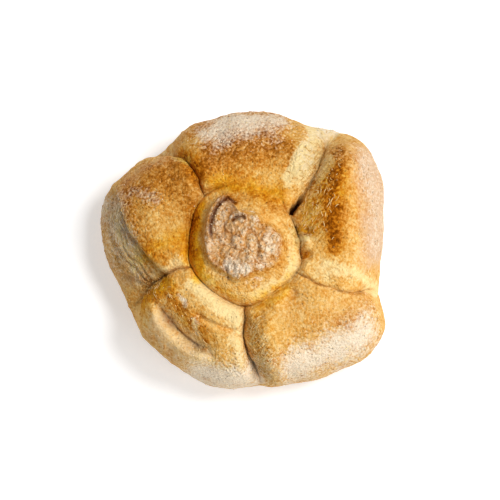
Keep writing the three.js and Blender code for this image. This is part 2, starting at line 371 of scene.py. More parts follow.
@dataclass(frozen=True)
class Crease:
    """Crease between two petals, with its values at the ring, halfway out and at the rim."""

    turn: Trio
    depth: Trio
    before: Point
    after: Point

    def distance(self, place: Place) -> Grid:
        """Distance from the crease, negative on the side of the petal before it."""
        line = through_three(self.turn, place.outward)
        return np.radians(turn_between(line, place.turn)) * place.radius

    def carve(self, place: Place, stray: Grid) -> Grid:
        """Depth of the cleft between the two rounded sides, along a line that strays a little.

        Args:
            place: Places on the body.
            stray: How far the crease strays from its line.

        Returns:
            Depth below the plain body.
        """
        distance = self.distance(place) + stray
        first, last = np.where(distance[..., None] < 0, self.before, self.after).transpose(2, 0, 1)
        width = first + (last - first) * place.outward
        return through_three(self.depth, place.outward) * cusp(distance / width)


@dataclass(frozen=True)
class Meridian:
    """Rows of the body from the top of the crown to the middle of the base."""

    share: Grid
    level: Grid
    outward: Grid
    upward: Grid
    fade: Grid
    on_dome: Grid


@dataclass
class Body:
    """Plain body: a dome above the widest level, a rounded foot below it and a flat base."""

    rim_level: float = 15.0
    dome_rise: float = 26.0
    dome_power: float = 2.6
    foot_power: float = 2.2
    base_share: float = 0.87
    mean_reach: float = 52.0
    ring_share: float = 0.4
    ring_turns: Row = (
        8, 37, 56, 90, 106, 125, 142, 163, 180, 195, 228, 250, 270, 284, 309, 330, 345, 357,
    )
    ring_radii: Row = (
        20.2, 20.3, 21.3, 21.9, 23.3, 24.1, 22.8, 21.0, 20.4,
        20.9, 20.1, 20.7, 22.0, 21.4, 20.3, 21.1, 21.6, 20.6,
    )
    petals: tuple[Row, ...] = (
        (55.4, 52.0, 53.1, 52.0, 50.6, 49.4),
        (48.7, 52.0, 54.8, 53.8, 50.5, 47.8),
        (46.7, 47.7, 47.1, 48.3, 49.9, 49.6),
        (48.2, 50.0, 53.0, 55.4, 58.6, 58.0),
        (51.4, 50.0, 50.7, 52.8, 57.6, 59.5),
    )
    creases: tuple[Crease, ...] = (
        Crease((35.4, 47.0, 52.5), (7.0, 7.0, 12.0), (8.0, 12.0), (7.0, 13.0)),
        Crease((128.0, 123.3, 131.0), (4.5, 4.5, 8.0), (5.0, 10.0), (4.0, 7.0)),
        Crease((201.0, 199.0, 205.0), (4.5, 5.0, 8.0), (4.0, 7.0), (3.0, 7.0)),
        Crease((270.5, 270.0, 276.5), (4.5, 7.5, 10.0), (2.8, 4.5), (4.5, 11.0)),
        Crease((332.0, 335.5, 344.0), (1.6, 1.2, 5.0), (3.5, 6.0), (3.5, 6.0)),
    )
    columns_per_petal: int = 124
    column_draw: float = 0.5
    crown_rows: int = 68
    petal_rows: int = 70
    foot_rows: int = 14
    base_rows: int = 4
    row_draw: float = 1.1

    def outward_share(self, share: Grid) -> Grid:
        """Share of the way from the ring to the rim."""
        return np.clip((share - self.ring_share) / (1.0 - self.ring_share), 0.0, 1.0)

    def reach(self, turn: Grid) -> Grid:
        """Reach of the rim: a closed curve through stations spaced evenly along each petal.

        Args:
            turn: Directions.

        Returns:
            Distance from the crown axis to the rim.
        """
        starts = np.array([crease.turn[2] for crease in self.creases])
        spans = (np.roll(starts, -1) - starts) % FULL_TURN
        reaches = np.array(self.petals)
        turns = starts[:, None] + spans[:, None] * np.arange(reaches.shape[1]) / reaches.shape[1]
        return around_loop(turns.ravel(), reaches.ravel(), turn)

    def ring(self, turn: Grid) -> Grid:
        """Radius of the ring round the crown: a closed curve through its stations."""
        return around_loop(self.ring_turns, self.ring_radii, turn)

    def meridian(self) -> Meridian:
        """Rows on a superellipse dome, a superellipse foot and a flat base, with their normals.

        Returns:
            The rows, drawn together towards the ring.
        """
        even = np.arange(self.crown_rows) / self.crown_rows
        crown = self.ring_share * (1.0 - (1.0 - even) ** self.row_draw)
        ring_angle = math.asin(self.ring_share ** (self.dome_power / 2))
        steps = (np.arange(self.petal_rows) / self.petal_rows) ** self.row_draw
        petal = np.sin(ring_angle + (math.pi / 2 - ring_angle) * steps) ** (2 / self.dome_power)
        dome = np.concatenate([crown, petal])
        rise = (1.0 - dome**self.dome_power) ** (1 / self.dome_power)
        angle = np.arange(self.foot_rows) / self.foot_rows * math.pi / 2
        inset = np.cos(angle) ** (2 / self.foot_power)
        drop = np.sin(angle) ** (2 / self.foot_power)
        base = self.base_share * (1.0 - np.arange(self.base_rows + 1) / self.base_rows)
        flat = np.zeros_like(base)
        share = np.concatenate([dome, self.base_share + (1.0 - self.base_share) * inset, base])
        level = np.concatenate([
            self.rim_level + self.dome_rise * rise,
            self.rim_level * (1.0 - drop),
            flat,
        ])
        outward = np.concatenate([
            dome ** (self.dome_power - 1) / self.mean_reach,
            inset ** (self.foot_power - 1) / ((1.0 - self.base_share) * self.mean_reach),
            flat,
        ])
        upward = np.concatenate([
            rise ** (self.dome_power - 1) / self.dome_rise,
            -(drop ** (self.foot_power - 1)) / self.rim_level,
            flat - 1.0,
        ])
        length = np.hypot(outward, upward)
        on_dome = np.arange(len(share)) < len(dome)
        fade = np.where(on_dome, 1.0, smooth_rise(level, 0.0, self.rim_level))
        return Meridian(share, level, outward / length, upward / length, fade, on_dome)

    def places(self, rows: Meridian) -> Place:
        """Grid of places: a row for each row of the meridian, a column for each direction.

        Columns are drawn together towards the creases, and a column follows each crease.

        Args:
            rows: The meridian.

        Returns:
            The places.
        """
        outward = np.where(rows.on_dome, self.outward_share(rows.share), 1.0)
        even = np.arange(self.columns_per_petal) / self.columns_per_petal
        across = even - self.column_draw * np.sin(2 * math.pi * even) / (2 * math.pi)
        lines = np.stack([through_three(crease.turn, outward) for crease in self.creases], axis=1)
        spans = (np.roll(lines, -1, axis=1) - lines) % FULL_TURN
        turn = (lines[:, :, None] + spans[:, :, None] * across).reshape(len(outward), -1)
        reach = self.reach(turn)
        ring = self.ring(turn)
        share = rows.share[:, None]
        inner = ring * share / self.ring_share
        outer = ring + (reach - ring) * self.outward_share(share)
        radius = np.where(share < self.ring_share, inner, outer)
        radius = np.where(rows.on_dome[:, None], radius, reach * share)
        level = np.broadcast_to(rows.level[:, None], turn.shape)
        angle = np.radians(turn)
        spread = np.broadcast_to(outward[:, None], turn.shape)
        x = radius * np.cos(angle)
        y = radius * np.sin(angle)
        return Place(x, y, level, radius, turn, spread, radius - ring)


@dataclass
class Creases:
    """Creases between the petals, the ring round the crown and the hole between two petals."""

    fade_levels: Point = (14.0, 30.0)
    blend_power: float = 3.0
    ring_depth: float = 4.4
    ring_widths: Point = (8.0, 2.8)
    ring_blend: float = 0.6
    fused_turn: float = 78.0
    fused_spread: float = 36.0
    fused_power: float = 6.0
    fused_share: float = 0.86
    steep_turn: float = 2.0
    steep_spread: float = 26.0
    steep_share: float = 0.86
    stray: DoughNoise = DoughNoise(seed=3, size=4.0, height=0.45)
    ring_stray: float = 0.35
    hole_depth: float = 6.0
    hole_radii: Row = (20.8, 22.2, 26.0, 28.0)
    hole_widths: Point = (0.5, 1.6)
    hole_ragged: DoughNoise = DoughNoise(seed=15, size=2.4, height=0.7)
    seam_depth: float = 1.3
    seam_width: float = 1.3
    line_width: float = 0.8
    line_noise: DoughNoise = DoughNoise(seed=9, size=1.4, layers=1)
    line_range: Point = (-0.4, 0.3)

    def ring_distance(self, place: Place) -> Grid:
        """Distance outwards from the ring, which strays a little."""
        return place.past_ring + self.ring_stray * self.stray.at(place)

    def openness(self, place: Place) -> Grid:
        """How open the ring is: nearly closed where the crown has grown together with the top petal."""
        aside = turn_between(self.fused_turn, place.turn) / self.fused_spread
        return 1.0 - self.fused_share * np.exp(-(aside**self.fused_power))

    def carve(self, place: Place, body: Body) -> Grid:
        """Depth of creases and ring, blended by the power mean where they meet, and the hole.

        Args:
            place: Places on the body.
            body: The body.

        Returns:
            Depth below the plain body.
        """
        stray = self.stray.at(place)
        open_share = smooth_rise(place.past_ring, -self.ring_blend, self.ring_blend)
        high = smooth_rise(place.level, *self.fade_levels) * open_share
        cuts = [crease.carve(place, stray) * high for crease in body.creases]
        from_ring = self.ring_distance(place)
        steep = self.steep_share * bell(turn_between(self.steep_turn, place.turn), self.steep_spread)
        width = np.where(from_ring < 0, self.ring_widths[0], self.ring_widths[1] * (1.0 - steep))
        cuts.append(self.ring_depth * self.openness(place) * cusp(from_ring / width))
        blended = np.sum([cut**self.blend_power for cut in cuts], axis=0) ** (1 / self.blend_power)
        seams = self.seam_depth * self.seams(place, body, self.seam_width)
        return blended + seams + self.hole_depth * self.hole(place, body)

    def hole(self, place: Place, body: Body) -> Grid:
        """Mask of the hole at the inner end of the first crease, with ragged edges.

        Args:
            place: Places on the body.
            body: The body.

        Returns:
            The mask, between 0 and 1.
        """
        start, full, lessening, end = self.hole_radii
        along = smooth_rise(place.radius, start, full) * smooth_fall(place.radius, lessening, end)
        from_line = body.creases[0].distance(place) + self.stray.at(place)
        aside = np.abs(from_line + self.hole_ragged.at(place))
        return along * smooth_fall(aside, *self.hole_widths)

    def seams(self, place: Place, body: Body, width: float) -> Grid:
        """Mask of the narrow seams at the bottom of creases and ring.

        Args:
            place: Places on the body.
            body: The body.
            width: Half width of a seam.

        Returns:
            The mask, between 0 and 1.
        """
        stray = self.stray.at(place)
        beyond = smooth_rise(place.past_ring, -self.ring_blend, 0.0)
        high = smooth_rise(place.level, *self.fade_levels) * beyond
        mask = cusp(self.ring_distance(place) / width) * self.openness(place)
        for crease in body.creases:
            mask = np.maximum(mask, cusp((crease.distance(place) + stray) / width) * high)
        return mask

    def lines(self, place: Place, body: Body) -> Grid:
        """Mask of the painted shade lines in the seams, broken up by noise."""
        dotted = smooth_rise(self.line_noise.at(place), *self.line_range)
        return np.sqrt(self.seams(place, body, self.line_width)) * dotted


@dataclass
class Crown:
    """Crown with its wrinkled cap, the torn recess behind a thin lip, and a curled flake."""

    swell_radius: float = 20.8
    swell: float = 3.2
    cap_rise: float = 2.8
    cap_ragged: DoughNoise = DoughNoise(seed=21, size=4.5, height=0.6, layers=3)
    cap_blend: Point = (-0.6, 0.9)
    cap_turns: Row = (
        0, 14, 27, 48, 68, 90, 100, 106, 112, 120, 128, 138,
        150, 168, 185, 201, 220, 239, 252, 270, 288, 305, 322, 340,
    )
    cap_radii: Row = (
        15.9, 15.9, 13.8, 11.4, 11.6, 12.0, 12.8, 16.4, 19.8, 20.0, 18.9, 17.5,
        15.9, 15.6, 15.6, 15.0, 14.1, 13.3, 13.5, 12.8, 12.5, 13.6, 15.0, 15.8,
    )
    wall_start: float = -0.3
    wall_turns: Row = (0, 40, 75, 110, 150, 195, 232, 252, 275, 300, 330)
    wall_widths: Row = (5.5, 3.0, 1.8, 1.2, 1.8, 2.2, 1.8, 1.2, 1.8, 4.0, 5.5)
    top_wall: float = 3.2
    top_start: float = 0.4
    top_past: float = 0.3
    lip: Band = Band((-12.6, 0.5), (-6.3, 18.6), 3.5, 0.6, 1.2)
    lip_inset: float = 0.5
    recess_depth: float = 1.9
    recess_widths: Point = (3.0, 12.0)
    recess_widest: float = 0.7
    recess_wall: Point = (0.7, 1.7)
    recess_floor: float = 0.25
    recess_tail: float = 0.5
    recess_stray: DoughNoise = DoughNoise(seed=27, size=2.5, height=0.5, layers=1)
    recess_edge_line: BowedLine = BowedLine((-7.3, 18.8), (-2.2, 12.4), 0.6)
    recess_edge_wall: Point = (0.2, 1.2)
    lip_shade_inset: float = 1.7
    lip_shade_width: float = 0.75
    lip_shade_start: float = 0.2
    lip_shade_blend: float = 0.4
    edge_shade: float = 0.8
    edge_shade_inset: float = 0.5
    edge_shade_width: float = 0.4
    edge_shade_wall: Point = (0.6, 1.4)
    edge_shade_end: Point = (0.45, 0.9)
    undercut: float = 1.3
    flake: Band = Band((-5.0, 9.2), (6.4, 8.2), 2.9, 1.1, 1.5)
    hollow: Band = Band((-4.4, 7.8), (0.2, 9.0), 1.0, 0.7, 1.0)
    hollow_depth: float = 1.8
    end_taper: float = 0.12
    lump_noise: DoughNoise = DoughNoise(seed=41, size=5.0, layers=3)
    lump_rise: float = 1.3
    lump_line: float = 0.05
    crease_noise: DoughNoise = DoughNoise(seed=47, size=2.0)
    crease_rise: float = 0.95
    crack_taper: float = 0.15
    crack_stray: DoughNoise = DoughNoise(seed=33, size=2.4, height=0.45)
    cracks: tuple[Band, ...] = (
        Band((0.5, 6.4), (4.9, -0.2), 0.6, 0.4, 0.7),
        Band((4.9, 0.4), (4.5, -5.6), 0.4, 0.4, 1.0),
        Band((-5.4, 8.7), (-7.2, 2.0), -0.7, 0.4, 0.9),
        Band((-6.7, -7.6), (-5.8, -12.1), 0.3, 0.5, 1.2),
        Band((10.3, 2.8), (11.9, -4.5), 0.5, 0.4, 0.5),
        Band((-3.6, 6.4), (-3.4, -1.2), -1.6, 0.4, 0.5),
    )

    def cap(self, place: Place) -> Grid:
        """How far inside the cap's edge: a closed curve through its stations, made ragged."""
        edge = around_loop(self.cap_turns, self.cap_radii, place.turn)
        return edge - place.radius + self.cap_ragged.at(place)

    def wall(self, place: Place) -> Grid:
        """Width of the slope inside the cap's edge: a closed curve through its stations."""
        return around_loop(self.wall_turns, self.wall_widths, place.turn)

    def cap_mask(self, place: Place) -> Grid:
        """1 on the cap, 0 off it."""
        return smooth_rise(self.cap(place), *self.cap_blend)

    def cap_top(self, place: Place) -> Grid:
        """1 on top of the cap, 0 on the slope at its edge."""
        wall = np.minimum(self.wall(place), self.top_wall)
        return smooth_rise(self.cap(place), self.top_start * wall, wall + self.top_past)

    def recess(self, place: Place) -> Grid:
        """Mask of the recess: steep at the lip and at its other edge, with a floor that comes up slowly.

        Args:
            place: Places on the body.

        Returns:
            The mask, between 0 and 1.
        """
        share, left = self.lip.beside(place)
        left = left + self.recess_stray.at(place)
        narrow, wide = self.recess_widths
        width = narrow + (wide - narrow) * smooth_rise(share, 0.0, self.recess_widest)
        wall = smooth_rise(-left, *self.recess_wall)
        floor = smooth_fall(-left / width, self.recess_floor, 1.0)
        tail = smooth_rise(share, 0.0, self.recess_tail)
        aside = self.recess_edge_line.beside(place)[1]
        return wall * floor * tail * smooth_rise(-aside, *self.recess_edge_wall)

    def recess_edge(self, place: Place) -> Grid:
        """Mask of the shade inside the lip and inside the other edge of the recess: a bell beside each.

        Args:
            place: Places on the body.

        Returns:
            The mask, between 0 and 1.
        """
        share, left = self.lip.beside(place)
        other, aside = self.recess_edge_line.beside(place)
        blend = self.lip_shade_blend
        lip = bell(left + self.lip_shade_inset, self.lip_shade_width)
        lip = lip * smooth_rise(share, 0.0, self.lip_shade_start) * smooth_rise(-aside, -blend, blend)
        edge = self.edge_shade * bell(aside + self.edge_shade_inset, self.edge_shade_width)
        edge = edge * smooth_rise(-left, *self.edge_shade_wall) * smooth_fall(other, *self.edge_shade_end)
        return np.maximum(lip, edge)

    def crack_mask(self, place: Place) -> Grid:
        """Depth of the deepest crack at each place: bands along lines that stray a little."""
        stray = self.crack_stray.at(place)
        return np.maximum.reduce([crack.cover(place, self.crack_taper, stray) for crack in self.cracks])

    def hollow_mask(self, place: Place) -> Grid:
        """Mask of the hollow under the curled flake."""
        return self.hollow.cover(place, self.end_taper)

    def folds(self, place: Place) -> Grid:
        """Slow random field whose size gives lumps, with sharp valleys where it crosses 0."""
        return self.lump_noise.at(place)

    def creased(self, place: Place) -> Grid:
        """Size of a finer random field, with small sharp valleys where it crosses 0."""
        return np.abs(self.crease_noise.at(place))

    def fold_lines(self, place: Place) -> Grid:
        """Mask of the valleys between the lumps of the cap, where shade is painted."""
        return bell(self.folds(place), self.lump_line) * self.cap_mask(place)

    def rise(self, place: Place) -> Grid:
        """Swell, cap, lumps, creases, lip and flake, less the recess, the hollow and the cracks.

        Args:
            place: Places on the body.

        Returns:
            Rise over the plain body.
        """
        swell = self.swell * np.clip(1.0 - (place.radius / self.swell_radius) ** 2, 0.0, 1.0)
        cap = self.cap_rise * smooth_rise(self.cap(place), self.wall_start, self.wall(place))
        lip = self.lip.cover(place, self.end_taper, self.lip_inset)
        curl = self.flake.cover(place, self.end_taper)
        wrinkles = self.lump_rise * np.abs(self.folds(place)) + self.crease_rise * self.creased(place)
        sunk = self.recess_depth * self.recess(place) + self.undercut * self.recess_edge(place)
        sunk = sunk + self.hollow_depth * self.hollow_mask(place) + self.crack_mask(place)
        return swell + cap + lip + curl + wrinkles * self.cap_top(place) - sunk


@dataclass(frozen=True)
class Knob:
    """Small knob of dough, or a pit where its rise is negative."""

    at: Point
    radius: float
    rise: float


@dataclass
class PetalForms:
    """Folds, ridges, knobs and wrinkles of the petals."""

    swell: float = 1.6
    fade_levels: Point = (15.0, 25.0)
    fold: BowedLine = BowedLine((-31.0, -20.4), (-13.0, -37.6), -2.4)
    fold_taper: float = 0.2
    fold_stray: DoughNoise = DoughNoise(seed=51, size=5.0, height=0.5, layers=1)
    fold_rise: float = 2.6
    fold_round: float = 2.5
    fold_reach: float = 15.0
    fold_sink: float = 3.0
    fold_wall: float = 2.2
    fold_band: float = 11.0
    fold_slope: float = 2.6
    fold_line_offset: float = 0.2
    fold_line_width: float = 0.55
    groove: Band = Band((-17.2, -24.2), (-2.4, -30.8), -0.9, 0.8, 1.8)
    groove_taper: float = 0.2
    ridge: BowedLine = BowedLine((-46.4, 24.6), (-25.4, -11.3), -2.9)
    ridge_taper: float = 0.1
    ridge_stray: float = 0.5
    ridge_round: float = 2.8
    flank_sink: float = 3.6
    flank_stray: DoughNoise = DoughNoise(seed=57, size=7.0)
    flank_wrinkles: Row = (3.4, 6.0, 8.4, 11.0, 13.8)
    flank_wrinkle_depth: float = 1.1
    flank_wrinkle_width: float = 0.9
    flank_wrinkle_stray: float = 1.3
    ridges: tuple[Band, ...] = (
        Band((35.0, 42.0), (34.0, -9.0), -1.0, 10.0, 3.4, 9.0),
        Band((3.4, -24.0), (11.0, -48.0), 0.8, 4.0, 1.8, 7.0),
    )
    soft_taper: float = 0.18
    knob_power: float = 3.0
    knobs: tuple[Knob, ...] = (
        Knob((21.2, 1.4), 2.6, 3.7),
        Knob((22.2, -3.3), 1.5, -2.4),
        Knob((22.4, 5.1), 1.5, -2.2),
        Knob((20.5, -9.0), 2.6, 1.4),
        Knob((11.5, -20.5), 3.0, 1.8),
        Knob((17.5, -17.0), 1.6, -1.8),
        Knob((5.2, -25.0), 2.2, -1.4),
    )

    def fold_line(self, place: Place) -> Grid:
        """Mask of the painted shade line under the outer roll of the lower left petal."""
        share, left = self.fold.beside(place)
        return taper(share, self.fold_taper) * bell(left - self.fold_line_offset, self.fold_line_width)

    def folded(self, place: Place) -> Grid:
        """Outer roll of the lower left petal over its sunk band, and the groove inside.

        Args:
            place: Places on the body.

        Returns:
            Rise over the plain body.
        """
        share, left = self.fold.beside(place)
        left = left + self.fold_stray.at(place)
        roll = self.fold_rise * rounded_step(-left / self.fold_round)
        high = smooth_rise(place.level, *self.fade_levels)
        roll = roll * bell(np.minimum(left, 0.0), self.fold_reach) * high
        slope = (1.0 - np.clip(left / self.fold_band, 0.0, 1.0)) ** self.fold_slope
        sink = self.fold_sink * np.where(left < 0, cusp(left / self.fold_wall), slope)
        groove = self.groove.cover(place, self.groove_taper)
        return taper(share, self.fold_taper) * (roll - sink) - groove

    def flank(self, place: Place) -> Grid:
        """Depth of the left petal's flank below its ridge, with long wrinkles along it.

        Args:
            place: Places on the body.

        Returns:
            Depth below the plain body.
        """
        share, left = self.ridge.beside(place)
        stray = self.flank_stray.at(place)
        fade = taper(share, self.ridge_taper) * smooth_rise(place.level, *self.fade_levels)
        inside = (left + self.ridge_stray * stray) / self.ridge_round + 1.0
        depth = self.flank_sink * (1.0 - rounded_step(inside))
        for offset in self.flank_wrinkles:
            aside = left + offset + self.flank_wrinkle_stray * stray
            depth = depth + self.flank_wrinkle_depth * bell(aside, self.flank_wrinkle_width)
        return depth * fade

    def rise(self, place: Place) -> Grid:
        """Swell between ring and rim, soft ridges, knobs, fold and flank together.

        Args:
            place: Places on the body.

        Returns:
            Rise over the plain body.
        """
        total = self.swell * np.sin(math.pi * place.outward)
        for ridge in self.ridges:
            total = total + ridge.cover(place, self.soft_taper)
        for knob in self.knobs:
            away = np.hypot(place.x - knob.at[0], place.y - knob.at[1]) / knob.radius
            total = total + knob.rise * np.exp(-(away**self.knob_power))
        return total + self.folded(place) - self.flank(place)


@dataclass
class CrustSkin:
    """Unevenness of the dough and the small bumps and blisters of its skin."""

    uneven_levels: Point = (5.0, 24.0)
    straight_rise: float = 0.7
    straight_lengths: Point = (7.3, 8.9)
    straight_shifts: Point = (1.1, 0.4)
    slanted_rise: float = 0.45
    slanted_lengths: Point = (5.1, 6.3)
    slanted_shifts: Point = (2.0, 0.0)
    lumps: DoughNoise = DoughNoise(seed=61, size=9.0, height=0.45)
    skin: DoughNoise = DoughNoise(seed=67, size=3.4, height=0.24)
    grain: DoughNoise = DoughNoise(seed=71, size=1.2, height=0.10)
    blisters: Blisters = Blisters(seed=73, size=4.0, height=0.30)

    def rise(self, place: Place) -> Grid:
        """Crossed waves, straight and slanted, and lumps, skin, grain and blisters of falling size.

        Args:
            place: Places on the body.

        Returns:
            Rise over the plain body.
        """
        across, along = place.x + place.y, place.x - place.y
        straight = crossed_waves(place.x, place.y, self.straight_lengths, self.straight_shifts)
        slanted = crossed_waves(across, along, self.slanted_lengths, self.slanted_shifts)
        slow = self.straight_rise * straight + self.slanted_rise * slanted + self.lumps.at(place)
        fine = self.skin.at(place) + self.grain.at(place)
        return slow * smooth_rise(place.level, *self.uneven_levels) + fine + self.blisters.at(place)


class Tone(Enum):
    """Tones of the crust, each a value at every point of the mesh."""

    BAKED = "baked"
    FLOURED = "floured"
    VEILED = "veiled"
    CREAM = "cream"
    # golden tint, partly real yellow crust and partly painted shade on slopes facing away from the light
    GOLDEN = "golden"
    PULLED = "pulled"
    # painted shade: dark seams, hole, recess edges, cracks, the hollow under the flake, cap valleys and the
    # fold line
    GAP = "gap"


@dataclass
class CrustTones:
    """Where the crust is baked brown, dusted with flour or still cream-coloured.

    Seeds are in the order of the tones.
    """

    seeds: tuple[int, ...] = (101, 111, 151, 121, 131, 141)
    y_seed: int = 5
    level_seed: int = 9
    stray_height: float = 1.6
    stray_size: float = 6.0
    stray_layers: int = 3
    end_taper: float = 0.15
    fade_levels: Point = (4.0, 15.0)
    fade_stray: float = 7.0
    fade_size: float = 8.0
    flank_stray: float = 5.0
    low_levels: Point = (0.0, 18.0)
    low_flour: float = 0.28
    low_veil: float = 0.40
    baked_ground: float = 0.23
    floured_ground: float = 0.02
    on_cap: float = 0.5
    cap_baked: float = 0.33
    cap_flour: float = 0.16
    cap_veil: float = 0.54
    lump_range: Point = (0.08, 0.55)
    lump_flour: float = 0.30
    valley_range: Point = (0.04, 0.30)
    valley_baked: float = 0.16
    valley_flour: float = 0.25
    valley_veil: float = 0.45
    lip_veil: float = 0.45
    lip_taper: float = 0.1
    lip_inset: float = 0.4
    lip_width: float = 0.7
    # amounts of painted shade in seams, recess edges, cracks, the hollow, cap valleys and under the fold
    seam_shade: float = 0.32
    recess_shade: float = 0.9
    crack_shade: float = 0.35
    hollow_shade: float = 0.7
    wrinkle_shade: float = 0.3
    fold_shade: float = 0.75
    baked: tuple[Band, ...] = (
        Band((-16.4, 30.0), (17.4, 37.4), 5.6, 10.0, 0.64),
        Band((-25.2, 33.2), (-13.5, 25.1), 0.0, 4.0, 0.46),
        Band((-28.0, 36.0), (18.0, 50.0), 6.5, 6.0, 0.36),
        Band((-13.0, 27.0), (20.0, 29.0), 2.0, 9.0, 0.30),
        Band((34.0, 38.5), (30.6, -5.5), -1.4, 3.0, 0.72, 3.8),
        Band((30.2, 14.0), (31.0, -4.5), -0.5, 2.6, 0.36, 3.0),
        Band((28.4, 24.0), (26.9, 5.6), -1.1, 4.4, 0.30),
        Band((39.2, 36.9), (37.0, -2.9), 1.0, 5.0, 0.18),
        Band((44.0, 37.0), (46.0, -5.0), 2.4, 8.0, 0.38),
        Band((12.2, -21.1), (39.4, -24.0), 0.0, 5.9, 0.22),
        Band((8.5, -35.5), (46.0, -21.5), -0.4, 4.8, 0.28),
        Band((-28.0, -13.4), (-10.5, -33.4), -0.8, 4.0, 0.54),
        Band((-37.7, -18.3), (-29.6, -17.6), 0.0, 2.9, 0.50),
        Band((-45.8, 21.1), (-16.4, 15.6), 2.9, 12.0, 0.58),
        Band((-34.8, 29.7), (-17.9, 26.0), 1.1, 4.0, 0.16),
        Band((-38.4, -2.9), (-21.6, 2.6), -1.1, 4.0, 0.24),
        Band((-3.2, 19.6), (16.6, 12.2), 1.8, 3.3, 0.42),
        # browner on the crown's left side, which faces away from the light: painted shade
        Band((-17.0, 12.5), (-17.0, -6.0), -2.2, 2.2, 0.58),
        Band((-16.0, -10.0), (-4.0, -19.5), -1.0, 3.0, 0.40),
        Band((-44.0, 21.0), (-26.0, -7.0), -2.9, 3.4, 0.34),
        Band((8.5, -6.4), (13.7, -8.6), 0.0, 2.2, 0.45),
        Band((-6.1, 17.9), (-1.7, 14.2), 0.0, 1.5, 0.85),
        # these two darken the pits beside the knob: painted shade
        Band((20.6, 5.6), (23.8, 4.8), 0.0, 1.2, 0.70),
        Band((22.4, -2.4), (22.2, -4.6), 0.0, 1.2, 0.75),
    )
    floured: tuple[Band, ...] = (
        Band((-17.9, 39.2), (17.4, 45.9), 3.7, 5.4, 0.76),
        Band((-12.0, 44.9), (4.1, 47.9), 1.1, 2.9, 0.45),
        Band((11.0, -44.0), (48.0, -25.5), -3.0, 7.5, 0.92),
        Band((26.5, 45.5), (33.5, 43.5), 0.0, 3.0, 0.75),
        Band((43.0, 37.0), (45.5, -4.0), 2.6, 6.6, 0.46),
        Band((-36.4, -24.4), (-14.2, -41.4), -2.9, 5.5, 0.12),
        Band((-21.6, -43.6), (7.3, -45.8), -1.5, 6.4, 0.94),
        Band((-48.7, 20.0), (-38.9, -10.6), -2.2, 5.4, 0.97),
        Band((-13.0, 36.0), (12.0, 40.0), 3.0, 5.0, 0.38),
        Band((-41.4, 21.1), (-29.6, 15.2), 0.7, 3.6, 0.42),
        Band((8.5, 4.6), (8.5, -5.0), 0.0, 2.9, 0.66),
        Band((-8.0, -7.6), (8.0, -10.0), -1.0, 3.6, 0.86),
        Band((-5.0, 9.2), (6.4, 8.2), 2.9, 1.0, 0.80),
        Band((-11.3, 0.2), (1.9, -6.5), 0.0, 4.4, 0.20),
        Band((-24.4, -17.0), (-20.0, -21.4), 0.0, 0.8, 0.74),
        Band((-18.8, -24.0), (-14.6, -31.0), 0.0, 1.0, 0.66),
        Band((-6.8, 15.8), (-8.2, 7.4), 0.0, 2.2, 0.34),
        Band((3.0, -25.0), (9.5, -47.0), -0.7, 3.4, 0.34),
        Band((19.0, 27.0), (26.0, 44.0), 0.0, 3.4, 0.38),
        Band((30.0, 32.0), (23.0, 6.0), -1.5, 4.0, 0.16),
    )
    veiled: tuple[Band, ...] = (
        Band((44.0, 38.0), (45.7, -6.0), 2.9, 8.6, 0.90),
        Band((-30.0, 38.0), (20.0, 48.0), 5.0, 6.0, 0.30),
        Band((-33.4, -23.4), (-13.2, -40.4), -2.9, 6.4, 0.48),
        Band((-49.7, 22.0), (-38.9, -12.6), -2.2, 6.0, 0.80),
        Band((-44.0, 24.0), (-26.0, 33.0), 2.0, 5.0, 0.35),
        Band((14.0, -38.0), (46.0, -22.0), -2.0, 5.0, 0.30),
        Band((10.0, -25.0), (45.0, -20.0), 0.0, 8.0, 0.22),
        Band((-14.0, 30.0), (17.0, 37.0), 5.6, 9.0, 0.18),
        Band((-7.2, 16.8), (-8.6, 6.9), 0.0, 2.6, 0.62),
    )
    cream: tuple[Band, ...] = (
        Band((14.8, 22.5), (24.6, 44.5), 0.0, 7.0, 0.92, 1.7),
        Band((21.5, 46.4), (34.5, 44.2), -0.7, 3.6, 0.98),
        # paler on the crown's right side, which faces the light: partly painted light
        Band((17.4, 8.9), (15.2, -14.0), 2.6, 3.0, 0.62),
        Band((-14.2, -11.1), (8.5, -19.2), -2.9, 2.6, 0.26),
        Band((17.2, -6.0), (1.0, -18.6), 2.6, 2.2, 0.72),
        Band((-18.8, -10.6), (-1.4, -26.4), -1.2, 3.8, 0.90),
        Band((-1.8, -25.0), (-0.5, -44.2), -0.4, 3.6, 0.64),
        Band((-36.2, -11.0), (-20.1, -6.5), 0.7, 2.2, 0.60),
        Band((23.2, -8.4), (47.5, -12.3), 1.5, 3.4, 0.66),
        Band((19.8, 1.6), (24.0, 1.2), 0.0, 2.0, 0.98),
        Band((-31.1, 37.0), (-20.1, 31.1), 0.0, 2.2, 0.60),
        Band((7.1, -20.9), (15.9, -16.5), 0.0, 2.9, 0.45),
        Band((-17.9, -37.2), (-2.5, -45.4), -0.7, 3.7, 0.50),
        Band((45.0, -13.0), (50.5, -15.5), 0.0, 2.5, 0.90),
        Band((-31.4, -22.4), (-13.2, -38.4), -2.6, 4.8, 0.60),
        Band((31.5, 37.0), (27.5, 23.0), 0.0, 3.0, 0.50),
    )
